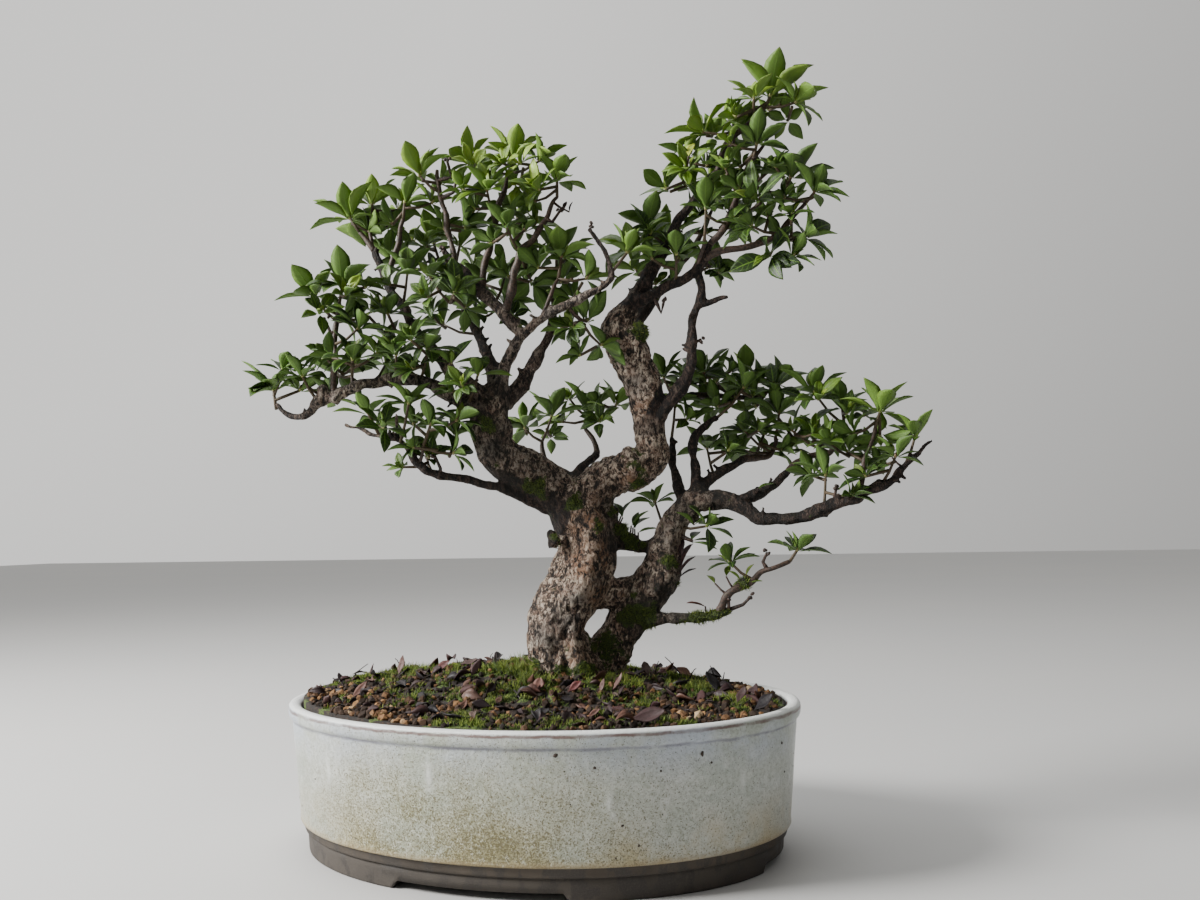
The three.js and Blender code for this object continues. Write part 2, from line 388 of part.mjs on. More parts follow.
// Each spray has its whorls of leaves as [x, y, z, leaves in the whorl, leaf length]. A single whorl has the
// point in the wood that its twig grows from, and several have their stems, as routes begun in the wood.
const sprays = {
  apex: {
    stems: [[[112, 0, 391, 2.6], [118, -2, 407, 2.3], [126, -4, 415, 2], [134, -6, 421, 1.8],
      [141, -7, 428, 1.3]]],
    whorls: [[144, -8, 434, 8, 26], [158, -13, 428, 6, 20], [133, -17, 429, 5, 19], [127, 10, 419, 5, 20],
      [104, -5, 414, 6, 21]],
  },
  apexLeft: {
    stems: [[[100, 2, 378, 1.8], [93, 4, 387, 1.4]]],
    whorls: [[95, 3, 402, 5, 19], [82, 8, 384, 6, 18]],
  },
  peakRight: {
    stems: [
      [[105, -14, 343, 2.7], [114, -14, 353, 2.6], [119, -14, 364, 2.3], [122, -14, 373, 2],
        [127, -14, 386, 1.6], [132, -14, 394, 1.3]],
      [[121, -14, 370, 1.6], [131, -16, 376, 1.5], [141, -17, 373, 1.4], [149, -17, 374, 1.2]]],
    whorls: [[134, -15, 402, 7, 20], [115, -18, 387, 5, 16], [137, 3, 388, 5, 21], [153, -17, 381, 7, 23],
      [132, -25, 366, 6, 19]],
  },
  rightArm: {
    stems: [[[101, -14, 334, 2.6], [111, -17, 339, 2.5], [130, -19, 341, 2.3], [144, -21, 347, 2.1],
      [154, -22, 358, 1.7], [160, -22, 364, 1.3]]],
    whorls: [[165, -24, 370, 6, 19], [158, -27, 343, 6, 20], [138, -26, 333, 4, 20], [128, -27, 350, 6, 20]],
  },
  crownRightFront: {
    stems: [[[97, -13.5, 330, 1.6], [101, -21, 342, 1.3]]],
    whorls: [[102, -25, 361, 6, 19]],
  },
  apexLow: {
    stems: [[[74, 4.5, 338, 1.7], [68, 0, 345, 1.3]]],
    whorls: [[70, 4, 359, 6, 20], [61, -8, 344, 5, 22]],
  },
  crownRightInner: { root: [85, -9, 321], whorls: [[85, -17, 337, 6, 20]] },
  rearRightTop: {
    stems: [[[90, 32, 341, 2.5], [99, 34, 352, 2.3], [107, 34, 366, 1.9], [112, 34, 378, 1.3]]],
    whorls: [[114, 35, 387, 6, 21], [86, 42, 364, 5, 21], [126, 30, 366, 5, 21]],
  },
  rearRightLow: { root: [76, 28, 324], whorls: [[64, 38, 341, 5, 21]] },
  rearRightSide: { root: [84, 30, 334], whorls: [[109, 42, 343, 5, 21]] },
  outerLeftTip: {
    stems: [
      [[-96, 8, 349, 2.3], [-105, 9, 361, 1.6]],
      [[-98, 8, 352, 1.5], [-98, 11, 366, 1.2]]],
    whorls: [[-111, 10, 370, 7, 23], [-98, 12, 379, 6, 21], [-104, 27, 362, 5, 20]],
  },
  outerLeftFork: {
    stems: [[[-88, 5, 331, 2.4], [-83, 3, 344, 2.2], [-80, 2, 354, 2], [-77, 0, 366, 1.4]]],
    whorls: [[-76, 0, 376, 6, 20]],
  },
  outerLeftLow: {
    stems: [
      [[-75, 0, 309, 1.8], [-76, -5, 316, 1.3]],
      [[-70, -2, 299, 1.8], [-75, -10, 295, 1.5], [-79, -17, 296, 1.2]]],
    whorls: [[-73, -10, 330, 6, 19], [-82, -22, 304, 6, 18]],
  },
  crownLeftLow: {
    stems: [[[-34, -7, 324, 2], [-42, -12, 317, 1.7], [-47, -17, 311, 1.2]]],
    whorls: [[-58, -17, 326, 6, 19], [-43, -26, 315, 6, 19]],
  },
  crownLeftTip: {
    stems: [[[-46, -4, 336, 2.6], [-48, -2, 349, 2.4], [-50, -2, 362, 2.1], [-54, -2, 381, 1.8],
      [-56, -2, 395, 1.2]]],
    whorls: [[-41, 3, 361, 6, 19], [-66, -4, 391, 6, 20]],
  },
  crownMid: {
    stems: [[[-29, -8, 319, 2.8], [-29, -4, 335, 2.7], [-25, -1, 349, 2.5], [-22, 2, 362, 2.2],
      [-19, 4, 378, 1.9], [-14, 5, 394, 1.4]]],
    whorls: [[-36, 10, 372, 5, 21], [-25, -14, 378, 6, 21], [-12, 6, 404, 8, 22], [5, -3, 399, 6, 19],
      [-37, 9, 403, 6, 19], [-10, 24, 372, 5, 21]],
  },
  crownFork: {
    stems: [[[-16, -14, 304, 3], [-11, -14, 317, 2.8], [-9, -14, 331, 2.6], [-6, -14, 340, 2.4],
      [3, -14, 349, 2.2], [9, -13, 361, 1.9], [16, -12, 374, 1.3]]],
    whorls: [[16, -10, 384, 6, 20], [-13, -24, 353, 6, 20], [-1, 3, 328, 5, 20]],
  },
  centreBright: {
    stems: [[[6, -22, 299, 1.8], [12, -20, 312, 1.5], [16, -17, 324, 1.2]]],
    whorls: [[18, -15, 337, 7, 23], [32, -16, 324, 6, 20]],
  },
  centreLow: {
    stems: [[[22, -24, 307, 1.5], [28, -18, 300, 1.2]]],
    whorls: [[32, -10, 300, 6, 19], [40, -9, 286, 6, 20]],
  },
  centreDark: {
    stems: [[[12, 8, 308, 2.2], [13, 10, 322, 1.9], [14, 11, 333, 1.3]]],
    whorls: [[14, 13, 345, 6, 20]],
  },
  centreDarkLeft: { root: [-22, -11, 311], whorls: [[-17, 9, 333, 5, 19]] },
  longShootEnd: { root: [47, -26, 325], whorls: [[56, -27, 336, 6, 18]] },
  rearLeftTop: {
    stems: [[[-45, 32, 318, 2.5], [-56, 38, 338, 2.1], [-62, 40, 352, 1.4]]],
    whorls: [[-65, 41, 362, 6, 21], [-40, 42, 346, 5, 21], [-82, 34, 348, 5, 21]],
  },
  rearLeftLow: { root: [-36, 24, 300], whorls: [[-58, 32, 308, 5, 20]] },
  rearLeftSide: { root: [-40, 28, 309], whorls: [[-20, 36, 321, 5, 21]] },
  armLeftTip: { root: [-148, -16, 251], whorls: [[-150, -15, 262, 7, 22]] },
  armLeftKnee: { root: [-123, -20, 255], whorls: [[-131, -23, 269, 6, 15]] },
  riserLeft: {
    stems: [[[-113, -21, 258, 2.8], [-114, -20, 272, 2.5], [-113, -19, 288, 2.2], [-112, -18, 301, 1.9],
      [-111, -18, 312, 1.3]]],
    whorls: [[-126, -15, 317, 6, 20], [-109, -19, 322, 7, 21], [-94, -11, 308, 6, 20],
      [-98, -28, 295, 5, 18]],
  },
  armLeftMid: {
    stems: [[[-103, -22, 261, 1.5], [-103, -21, 269, 1.2]]],
    whorls: [[-101, -29, 277, 6, 19], [-116, -5, 273, 5, 20]],
  },
  armLeftBright: { root: [-78, -21, 267], whorls: [[-76, -30, 279, 7, 20]] },
  armLeftInner: { root: [-64, -19, 266], whorls: [[-58, -30, 282, 7, 20]] },
  armLeftRoot: { root: [-49, -16, 258], whorls: [[-45, -29, 274, 6, 18]] },
  armLeftFirst: { root: [-38, -13, 251], whorls: [[-30, -29, 267, 4, 17]] },
  armLeftRear: { root: [-91, -22, 265], whorls: [[-87, -5, 278, 5, 20]] },
  lowLeftFirst: {
    stems: [[[-66, -22, 218, 1.4], [-62, -25, 227, 1.1]]],
    whorls: [[-57, -29, 239, 6, 17], [-45, -24, 223, 5, 15]],
  },
  lowLeftSecond: { root: [-75, -24, 230], whorls: [[-69, -31, 251, 6, 17]] },
  lowLeftThird: { root: [-87, -24, 234], whorls: [[-92, -29, 246, 6, 17]] },
  lowLeftRear: { root: [-58, -20, 213], whorls: [[-64, -3, 225, 5, 18]] },
  backRightLeaves: {
    stems: [[[36, 36, 225, 2.5], [34, 45, 235, 2], [29, 51, 243, 1.4]]],
    whorls: [[31, 54, 253, 7, 21], [49, 49, 257, 5, 19]],
  },
  backLeftLeaves: {
    stems: [[[12, 26, 216, 2.4], [4, 34, 224, 2], [2, 40, 234, 1.4]]],
    whorls: [[8, 43, 250, 6, 22], [-9, 47, 243, 5, 20]],
  },
  trunkGapLeaves: { root: [77, 3, 176], whorls: [[71, 19, 194, 5, 14]] },
  longArmRiser: {
    stems: [[[184, -22, 194, 2.2], [187, -22, 204, 2], [189, -21, 214, 1.8], [192, -21, 222, 1.6],
      [196, -20, 233, 1.2]]],
    whorls: [[199, -20, 242, 7, 21], [182, -10, 220, 5, 17]],
  },
  longArmKnee: { root: [198, -22, 201], whorls: [[205, -27, 216, 6, 17]] },
  longArmEnd: { root: [212, -22, 212], whorls: [[217, -25, 227, 6, 16]] },
  longArmLow: { root: [165, -20, 187], whorls: [[168, -14, 207, 6, 16]] },
  midArmEnd: {
    stems: [[[149, 4, 210, 2.7], [158, 7, 217, 2.5], [167, 9, 220, 2.3], [176, 6, 221, 2],
      [180, 5, 231, 1.6], [184, 4, 237, 1.2]]],
    whorls: [[183, 4, 247, 6, 19], [167, 5, 257, 6, 21], [154, 10, 235, 5, 19], [170, 23, 230, 5, 19]],
  },
  innerArmEnd: {
    stems: [[[125, 14, 219, 2.6], [134, 18, 220, 2.4], [143, 22, 223, 1.9], [146, 24, 232, 1.3]]],
    whorls: [[149, 26, 247, 6, 19], [128, 24, 236, 5, 18], [128, 38, 226, 5, 19]],
  },
  innerArmSide: { root: [106, 5, 208], whorls: [[104, 24, 226, 6, 18]] },
  innerRiserEnd: { root: [109, 11, 244], whorls: [[126, 14, 262, 6, 19]] },
  thinRiserEnd: { root: [82, 18, 233], whorls: [[85, 22, 255, 5, 18]] },
  rearArmFirst: { root: [85, 26, 257], whorls: [[79, 32, 272, 6, 19]] },
  rearArmEnd: {
    stems: [[[98, 33, 260, 2.6], [110, 38, 261, 2.3], [124, 42, 260, 1.9], [138, 38, 259, 1.3]]],
    whorls: [[131, 42, 272, 6, 21], [104, 31, 274, 5, 20], [114, 53, 271, 5, 20], [150, 33, 266, 6, 19]],
  },
  lowRightShoot: {
    stems: [[[104, -11, 128, 2.6], [109, -14, 140, 2.7], [117, -15, 145, 3], [124, -16, 148, 2.6],
      [129, -17, 152, 2], [136, -18, 155, 1.6], [145, -18, 158, 1.2]]],
    whorls: [[149, -19, 164, 6, 17], [112, -11, 158, 5, 15]],
  },
  trunkSideLeaves: { root: [80, 0, 180], whorls: [[99, -11, 179, 6, 17]] },
};

const leafRise = [6, 40, 16, 48, 26, 56, 30, 52].map(THREE.MathUtils.degToRad);
const longStretch = [0.18, 0.34, 0.5, 0.66, 0.82, 1];
const crossStretch = [-1, -0.5, 0, 0.5, 1];

// Distance from a point to the line between two stations.
function gapToStem(point, stem) {
  const run = stem.end.clone().sub(stem.start);
  const t = Math.min(Math.max(point.clone().sub(stem.start).dot(run) / run.lengthSq(), 0), 1);
  return point.distanceTo(stem.start.clone().addScaledVector(run, t)) - stem.radius;
}

function stemsAlong(stations, owner) {
  return stations.slice(1).map((station, index) => ({
    start: stations[index].point,
    end: station.point,
    radius: Math.max(station.radius, stations[index].radius),
    owner,
  }));
}

// A twig leaves the nearest stem a little below its whorl, and bows up towards the light.
function nearestStation(centre, stems) {
  const aim = centre.clone().addScaledVector(up, -10);
  const candidates = stems.flatMap((stations, index) => (
    index === 0 ? stations.slice(Math.ceil(stations.length * 0.35)) : stations.slice(1)));
  return candidates.reduce((best, station) => (
    station.point.distanceTo(aim) < best.point.distanceTo(aim) ? station : best)).point;
}

function twigTo(centre, root) {
  const reach = root.distanceTo(centre);
  const knee = root.clone().lerp(centre, 0.55).addScaledVector(up, -0.16 * reach);
  const middle = root.clone().multiplyScalar(0.25).addScaledVector(knee, 0.5).addScaledVector(centre, 0.25);
  const axis = centre.clone().sub(knee).normalize().addScaledVector(up, 0.7).normalize();
  const course = reach > 15 ? [root, middle, centre] : [root, centre];
  return { axis, stations: course.map((point) => ({ point, radius: twigRadius })) };
}

// One leaf of a whorl: its root, its widest place, its tip, and the way across it.
function leafAt(whorl, index, shrink) {
  const turn = whorl.phase + ((index + (draw() - 0.5) * leafWobble.turn) / whorl.count) * Math.PI * 2;
  const rise = leafRise[index] + (draw() - 0.5) * leafWobble.rise;
  const roll = (draw() - 0.5) * leafWobble.roll;
  const length = whorl.leafLength * (0.94 + draw() * leafWobble.length) * shrink;
  const out = whorl.side.clone().multiplyScalar(Math.cos(turn)).addScaledVector(whorl.other, Math.sin(turn));
  const way = out.clone().multiplyScalar(Math.cos(rise)).addScaledVector(whorl.axis, Math.sin(rise));
  const level = whorl.axis.clone().cross(out);
  const across = level.clone().multiplyScalar(Math.cos(roll))
    .addScaledVector(way.clone().cross(level), Math.sin(roll));
  const face = way.clone().cross(across);
  const root = whorl.centre.clone().addScaledVector(out, hubRadius);
  const middle = root.clone().addScaledVector(way, length * 0.5).addScaledVector(face, length * leafCup);
  const tip = root.clone().addScaledVector(way, length * 0.98).addScaledVector(face, -length * leafDroop);
  const samples = longStretch.flatMap((share) => crossStretch.map((offset) => {
    const near = share < 0.5;
    const point = near ? root.clone().lerp(middle, share * 2) : middle.clone().lerp(tip, share * 2 - 1);
    const halfWidth = length * leafSpread * (near ? share : 1 - share) * 2;
    return point.addScaledVector(across, offset * halfWidth);
  }));
  return { turn, root, middle, tip, across, face, length, samples, centre: middle };
}

// True where a leaf stays clear of the wood, of other sprays' twigs and of other sprays' leaves.
function leafIsClear(leaf, owner, stems, leaves) {
  const reach = leaf.length * 0.6;
  const meetsStem = stems.some((stem) => {
    if (stem.owner === leaf.whorl) return false;
    const least = stem.owner === owner ? stemGap.own : stemGap.others;
    return gapToStem(leaf.centre, stem) < reach + 2
      && leaf.samples.some((sample) => gapToStem(sample, stem) < least);
  });
  if (meetsStem) return false;
  return !leaves.some((other) => {
    if (other.whorl === leaf.whorl) return false;
    const least = other.owner === owner ? leafGap.own : leafGap.others;
    return other.centre.distanceTo(leaf.centre) < reach + other.length * 0.6 + least
      && other.samples.some((a) => leaf.samples.some((b) => a.distanceTo(b) < least));
  });
}

// The knob of a whorl, with its leaves drawn out of its side faces and its twig out of its underside.
function whorlSolid(whorl) {
  const count = whorl.count;
  const twigSides = 3;
  const half = hubRadius * 0.5;
  const around = (centre, side, other, angle, radius) => centre.clone()
    .addScaledVector(side, Math.cos(angle) * radius).addScaledVector(other, Math.sin(angle) * radius);
  const cornerTurn = (index) => ((index - 0.5) / count) * Math.PI * 2;
  const twigTurn = (index) => (index / twigSides) * Math.PI * 2 - 0.5;
  const points = [];
  const faces = [];
  for (let k = 0; k < count; k += 1) {
    const corner = around(whorl.centre, whorl.side, whorl.other, whorl.phase + cornerTurn(k), hubRadius);
    points.push(corner.clone().addScaledVector(whorl.axis, -half));
    points.push(corner.clone().addScaledVector(whorl.axis, half));
  }
  for (let k = 1; k < count - 1; k += 1) faces.push([1, 2 * k + 1, 2 * k + 3]);

  whorl.leaves.forEach((leaf, k) => {
    const [lowRight, highRight] = [2 * k, 2 * k + 1];
    const [lowLeft, highLeft] = [2 * ((k + 1) % count), 2 * ((k + 1) % count) + 1];
    if (!leaf) {
      faces.push([lowRight, lowLeft, highLeft], [lowRight, highLeft, highRight]);
      return;
    }
    const first = points.length;
    const halfWidth = leaf.length * leafSpread;
    for (const [side, height] of [[-1, 1], [1, 1], [-1, -1], [1, -1]]) {
      points.push(leaf.middle.clone().addScaledVector(leaf.across, side * halfWidth)
        .addScaledVector(leaf.face, height * bladeThickness * 0.5));
    }
    points.push(leaf.tip);
    const [topRight, topLeft, baseRight, baseLeft, tip] = [0, 1, 2, 3, 4].map((n) => first + n);
    faces.push(
      [highRight, topRight, topLeft], [highRight, topLeft, highLeft],
      [lowRight, baseLeft, baseRight], [lowRight, lowLeft, baseLeft],
      [lowRight, baseRight, topRight], [lowRight, topRight, highRight],
      [lowLeft, topLeft, baseLeft], [lowLeft, highLeft, topLeft],
      [topRight, tip, topLeft], [baseRight, baseLeft, tip],
      [baseRight, tip, topRight], [baseLeft, topLeft, tip],
    );
  });

  // The twig's rings run down from the knob, and the first one is stitched to the knob's underside.
  const course = whorl.twig.stations.map((station) => station.point).reverse();
  course[0] = whorl.centre.clone().addScaledVector(whorl.axis, -half - 0.8);
  const rings = [];
  let { side } = whorl;
  course.forEach((centre, index) => {
    const along = index === 0 ? whorl.axis : course[index - 1].clone().sub(centre).normalize();
    side = side.clone().addScaledVector(along, -side.dot(along)).normalize();
    const other = along.clone().cross(side);
    const ring = [];
    for (let k = 0; k < twigSides; k += 1) {
      ring.push(points.length);
      points.push(around(centre, side, other, whorl.phase + twigTurn(k), twigRadius));
    }
    rings.push(ring);
  });
  let [corner, edge] = [0, 0];
  while (corner < count || edge < twigSides) {
    const low = rings[0][edge % twigSides];
    const high = 2 * (corner % count);
    const twigDone = edge === twigSides;
    const cornerNext = corner < count && (twigDone || cornerTurn(corner + 1) <= twigTurn(edge + 1));
    if (cornerNext) {
      corner += 1;
      faces.push([low, 2 * (corner % count), high]);
    } else {
      edge += 1;
      faces.push([low, rings[0][edge % twigSides], high]);
    }
  }
  for (let ring = 1; ring < rings.length; ring += 1) {
    for (let k = 0; k < twigSides; k += 1) {
      const next = (k + 1) % twigSides;
      const [above, below] = [rings[ring - 1], rings[ring]];
      faces.push([below[k], below[next], above[next]], [below[k], above[next], above[k]]);
    }
  }
  const end = rings[rings.length - 1];
  faces.push([end[0], end[2], end[1]]);
  return solidFromFaces(points, faces);
}

function planSprays() {
  const plans = Object.entries(sprays).map(([name, spray]) => {
    const stems = (spray.stems ?? []).map((list) => stationsOf(routeOf(list), 1));
    const whorls = spray.whorls.map(([x, y, z, count, leafLength]) => {
      const centre = treePoint(x, y, z);
      const twig = twigTo(centre, spray.root ? treePoint(...spray.root) : nearestStation(centre, stems));
      const side = new THREE.Vector3(0, 1, 0).cross(twig.axis).normalize();
      const other = twig.axis.clone().cross(side);
      return { centre, count, leafLength, twig, side, other, axis: twig.axis, leaves: [] };
    });
    return { name, stems, whorls };
  });
  const obstacles = limbStations.flatMap(({ stations }) => stemsAlong(stations, 'wood'));
  for (const plan of plans) {
    for (const stem of plan.stems) obstacles.push(...stemsAlong(stem, plan.name));
    for (const whorl of plan.whorls) obstacles.push(...stemsAlong(whorl.twig.stations, whorl));
  }
  const placed = [];
  for (const plan of plans) {
    for (const whorl of plan.whorls) {
      whorl.phase = draw() * Math.PI * 2;
      for (let k = 0; k < whorl.count; k += 1) {
        let chosen = null;
        for (const shrink of shrinkSteps) {
          const leaf = leafAt(whorl, k, shrink);
          leaf.whorl = whorl;
          leaf.owner = plan.name;
          if (!chosen && leafIsClear(leaf, plan.name, obstacles, placed)) chosen = leaf;
        }
        whorl.leaves.push(chosen);
        if (chosen) placed.push(chosen);
      }
    }
  }
  return plans;
}

function sprayNodeName(name) {
  return `spray_${name.replace(/[A-Z]/g, (letter) => `_${letter.toLowerCase()}`)}`;
}

function makeSpray(plan, woodSleeve) {
  const stems = plan.stems.map((stations) => limbSolid(stations, 3, 0, 0));
  const tufts = plan.whorls.map(whorlSolid);
  return withoutSplinters(mainBody(joined([...stems, ...tufts]).subtract(woodSleeve)));
}

// ---------- assembly ----------

const wood = withoutSplinters(makeWood(0));
const woodSleeve = makeWood(fit);
const plans = planSprays();

const model = new THREE.Group();
model.add(meshNamed('pot', withoutSplinters(makePot()), 0xc7ccbf, 0.25));
model.add(meshNamed('drain_screen_left', makeScreen(-1), 0x22262a, 0.6));
model.add(meshNamed('drain_screen_right', makeScreen(1), 0x22262a, 0.6));
model.add(meshNamed('soil', makeSoil(woodSleeve), 0x7a5b3c, 0.95));
model.add(meshNamed('wood', wood, 0x7d6455, 0.85));
const leafGreens = [0x4d7a2c, 0x3c6a2a, 0x6d9a33, 0x2f5a28];
plans.forEach((plan, index) => {
  const green = leafGreens[index % leafGreens.length];
  model.add(meshNamed(sprayNodeName(plan.name), makeSpray(plan, woodSleeve), green, 0.45));
});

// The origin is the middle of the footprint, on the surface that the pot stands on.
const extent = new THREE.Box3().setFromObject(model);
const middle = extent.getCenter(new THREE.Vector3());
model.position.set(-middle.x, -middle.y, -extent.min.z);

const group = new THREE.Group();
group.add(model);
export default group;
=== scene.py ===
import math

import bpy
import numpy as np
from mathutils import Matrix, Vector
from mathutils.kdtree import KDTree


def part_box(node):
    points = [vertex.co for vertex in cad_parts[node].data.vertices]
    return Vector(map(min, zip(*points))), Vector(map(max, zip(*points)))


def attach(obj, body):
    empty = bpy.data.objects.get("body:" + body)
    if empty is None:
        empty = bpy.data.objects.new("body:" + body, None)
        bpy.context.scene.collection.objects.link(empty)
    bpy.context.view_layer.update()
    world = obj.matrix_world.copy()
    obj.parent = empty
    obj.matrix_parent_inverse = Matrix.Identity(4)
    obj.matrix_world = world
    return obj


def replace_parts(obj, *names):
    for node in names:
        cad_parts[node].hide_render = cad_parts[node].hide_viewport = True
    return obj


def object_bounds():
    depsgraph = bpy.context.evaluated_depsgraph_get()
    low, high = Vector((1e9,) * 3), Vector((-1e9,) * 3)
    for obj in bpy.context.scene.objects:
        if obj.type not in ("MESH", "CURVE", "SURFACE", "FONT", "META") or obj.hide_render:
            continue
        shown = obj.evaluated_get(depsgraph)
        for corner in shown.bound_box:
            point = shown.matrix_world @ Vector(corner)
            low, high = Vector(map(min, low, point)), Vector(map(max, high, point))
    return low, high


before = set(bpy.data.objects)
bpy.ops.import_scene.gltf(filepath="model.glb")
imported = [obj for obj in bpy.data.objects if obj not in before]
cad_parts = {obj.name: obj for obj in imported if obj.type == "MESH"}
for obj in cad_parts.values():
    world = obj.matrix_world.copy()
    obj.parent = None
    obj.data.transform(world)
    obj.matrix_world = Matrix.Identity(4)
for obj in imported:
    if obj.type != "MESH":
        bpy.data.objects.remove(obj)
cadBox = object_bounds()

# Everything is worked out in millimetres round the pot's middle, and put in the frame at the very end.
potLow, potHigh = (np.array(corner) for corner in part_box("pot"))
potMiddle = np.array([(potLow[0] + potHigh[0]) / 2, (potLow[1] + potHigh[1]) / 2, potLow[2]])
treeTurn = math.radians(16)  # the tree faces the pot's front left
up = np.array([0.0, 0.0, 1.0])
wholeTurn = 2 * math.pi
anyAngle = (0, 6.3)  # the range that a turn is drawn from


def inFrame(points):
    return np.asarray(points, dtype=float) * 0.001 + potMiddle


def turned(point):
    x, y, z = point
    return np.array([x * math.cos(treeTurn) - y * math.sin(treeTurn),
                     x * math.sin(treeTurn) + y * math.cos(treeTurn), z])


def unit(vector):
    return vector / np.linalg.norm(vector)


def heading(turn, rise):
    # the direction with this turn round the upright and this rise
    return np.array([math.cos(turn) * math.cos(rise), math.sin(turn) * math.cos(rise), math.sin(rise)])


def clipped(value, low=0, high=1):
    return min(max(value, low), high)


# relief over a surface, from a lattice of seeded draws
hashing = {"steps": (73856093, 19349663, 83492791), "seedStep": 374761393, "mixer": 1274126177}


def cellDraw(cells, seed):
    x, y, z = (cells.astype(np.int64) * hashing["steps"]).T
    hashed = ((x ^ y ^ z) + seed * hashing["seedStep"]) & 0xffffffff
    hashed = ((hashed ^ (hashed >> 13)) * hashing["mixer"]) & 0xffffffff
    return ((hashed ^ (hashed >> 16)) & 0xffff) / 0xffff


def softNoise(points, size, seed=0):
    scaled = points / size
    low = np.floor(scaled)
    part = scaled - low
    part = part * part * (3 - 2 * part)
    total = np.zeros(len(points))
    for corner in np.ndindex(2, 2, 2):
        weight = np.prod(np.where(np.array(corner) == 1, part, 1 - part), axis=1)
        total += weight * cellDraw(low + corner, seed)
    return total * 2 - 1


def layeredNoise(points, size, layers, seed=0):
    total = sum(softNoise(points, size / 2 ** layer, seed + layer) / 2 ** layer for layer in range(layers))
    return total / (2 - 0.5 ** (layers - 1))


# meshes

def newBundle(*labels):
    return {"points": [], "quads": [], "tris": [], "quadSlots": [], "triSlots": [], "count": 0,
            "values": {label: [] for label in labels}}


def addTo(bundle, points, quads, tris, slot=0, **values):
    first = bundle["count"]
    bundle["points"].append(np.asarray(points, dtype=float))
    bundle["count"] += len(points)
    for kind, faces in (("quad", quads), ("tri", tris)):
        if len(faces):
            bundle[kind + "s"].append(np.asarray(faces) + first)
            bundle[kind + "Slots"] += [slot] * len(faces)
    for label, store in bundle["values"].items():
        store.append(np.broadcast_to(np.asarray(values.get(label, 0.0), dtype=float), (len(points),)))


def setValues(mesh, label, values):
    layer = mesh.attributes.new(label, "FLOAT", "POINT")
    layer.data.foreach_set("value", values.astype(np.float32))


def makePiece(name, bundle, materials, smooth=True):
    mesh = bpy.data.meshes.new(name)
    faces = [face for kind in ("quads", "tris") for group in bundle[kind] for face in group.tolist()]
    mesh.from_pydata(inFrame(np.concatenate(bundle["points"])).tolist(), [], faces)
    for material in materials:
        mesh.materials.append(material)
    mesh.polygons.foreach_set("material_index", bundle["quadSlots"] + bundle["triSlots"])
    mesh.polygons.foreach_set("use_smooth", [smooth] * len(mesh.polygons))
    for label, store in bundle["values"].items():
        setValues(mesh, label, np.concatenate(store))
    mesh.update()
    piece = bpy.data.objects.new(name, mesh)
    bpy.context.scene.collection.objects.link(piece)
    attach(piece, "root")
    return piece


def fanTris(pole, firstCorner, sides, outward):
    side = np.arange(sides)
    near, far = firstCorner + side, firstCorner + (side + 1) % sides
    corners = [near, far] if outward else [far, near]
    return np.stack([np.full(sides, pole), *corners], axis=1)


def closed(rings, poles):
    # points, quads and triangles of a skin over a row of rings, closed by a pole at each end
    count, sides = len(rings), len(rings[0])
    ring, side = np.meshgrid(np.arange(count - 1), np.arange(sides), indexing="ij")
    near = (ring * sides + side).ravel()
    far = (ring * sides + (side + 1) % sides).ravel()
    tris = np.concatenate([fanTris(count * sides, 0, sides, False),
                           fanTris(count * sides + 1, (count - 1) * sides, sides, True)])
    return (np.concatenate([*rings, np.array(poles)]),
            np.stack([near, far, far + sides, near + sides], axis=1), tris)


def stationsAlong(route, perSpan):
    # points and radii on a smooth line through a route, which is given as seen from the tree's front
    points = [turned(station[:3]) for station in route]
    last = len(route) - 1
    stations = []
    for span in range(last):
        ends = [points[clipped(span + step, 0, last)] for step in (-1, 0, 1, 2)]
        for step in range(perSpan + 1 if span == last - 1 else perSpan):
            t = step / perSpan
            weights = [-0.5 * t + t * t - 0.5 * t * t * t, 1 - 2.5 * t * t + 1.5 * t * t * t,
                       0.5 * t + 2 * t * t - 1.5 * t * t * t, -0.5 * t * t + 0.5 * t * t * t]
            point = sum(weight * end for weight, end in zip(weights, ends))
            stations.append((point, route[span][3] + (route[span + 1][3] - route[span][3]) * t))
    return stations


def tube(stations, sides, lobes=0.0):
    # points and faces of a round skin along stations of point and radius, with slow lobes on old wood
    angle = np.arange(sides) / sides * wholeTurn
    first = unit(stations[1][0] - stations[0][0])
    side = unit(np.cross(np.array([1, 0.3, 0]), first))
    rings = []
    for index, (centre, radius) in enumerate(stations):
        before = stations[max(index - 1, 0)][0]
        after = stations[min(index + 1, len(stations) - 1)][0]
        along = unit(after - before)
        side = unit(side - along * side.dot(along))
        other = np.cross(along, side)
        wave = np.sin(angle * 3 + centre[2] * 0.045) + 0.6 * np.sin(angle * 5 - centre[2] * 0.07)
        reach = (radius * (1 + lobes * wave))[:, None]
        circle = np.cos(angle)[:, None] * side + np.sin(angle)[:, None] * other
        rings.append(centre + circle * reach)
    rings.append(centre + along * radius * 0.35 + circle * radius * 0.7)
    return closed(rings, [stations[0][0], centre + along * radius * 0.5])


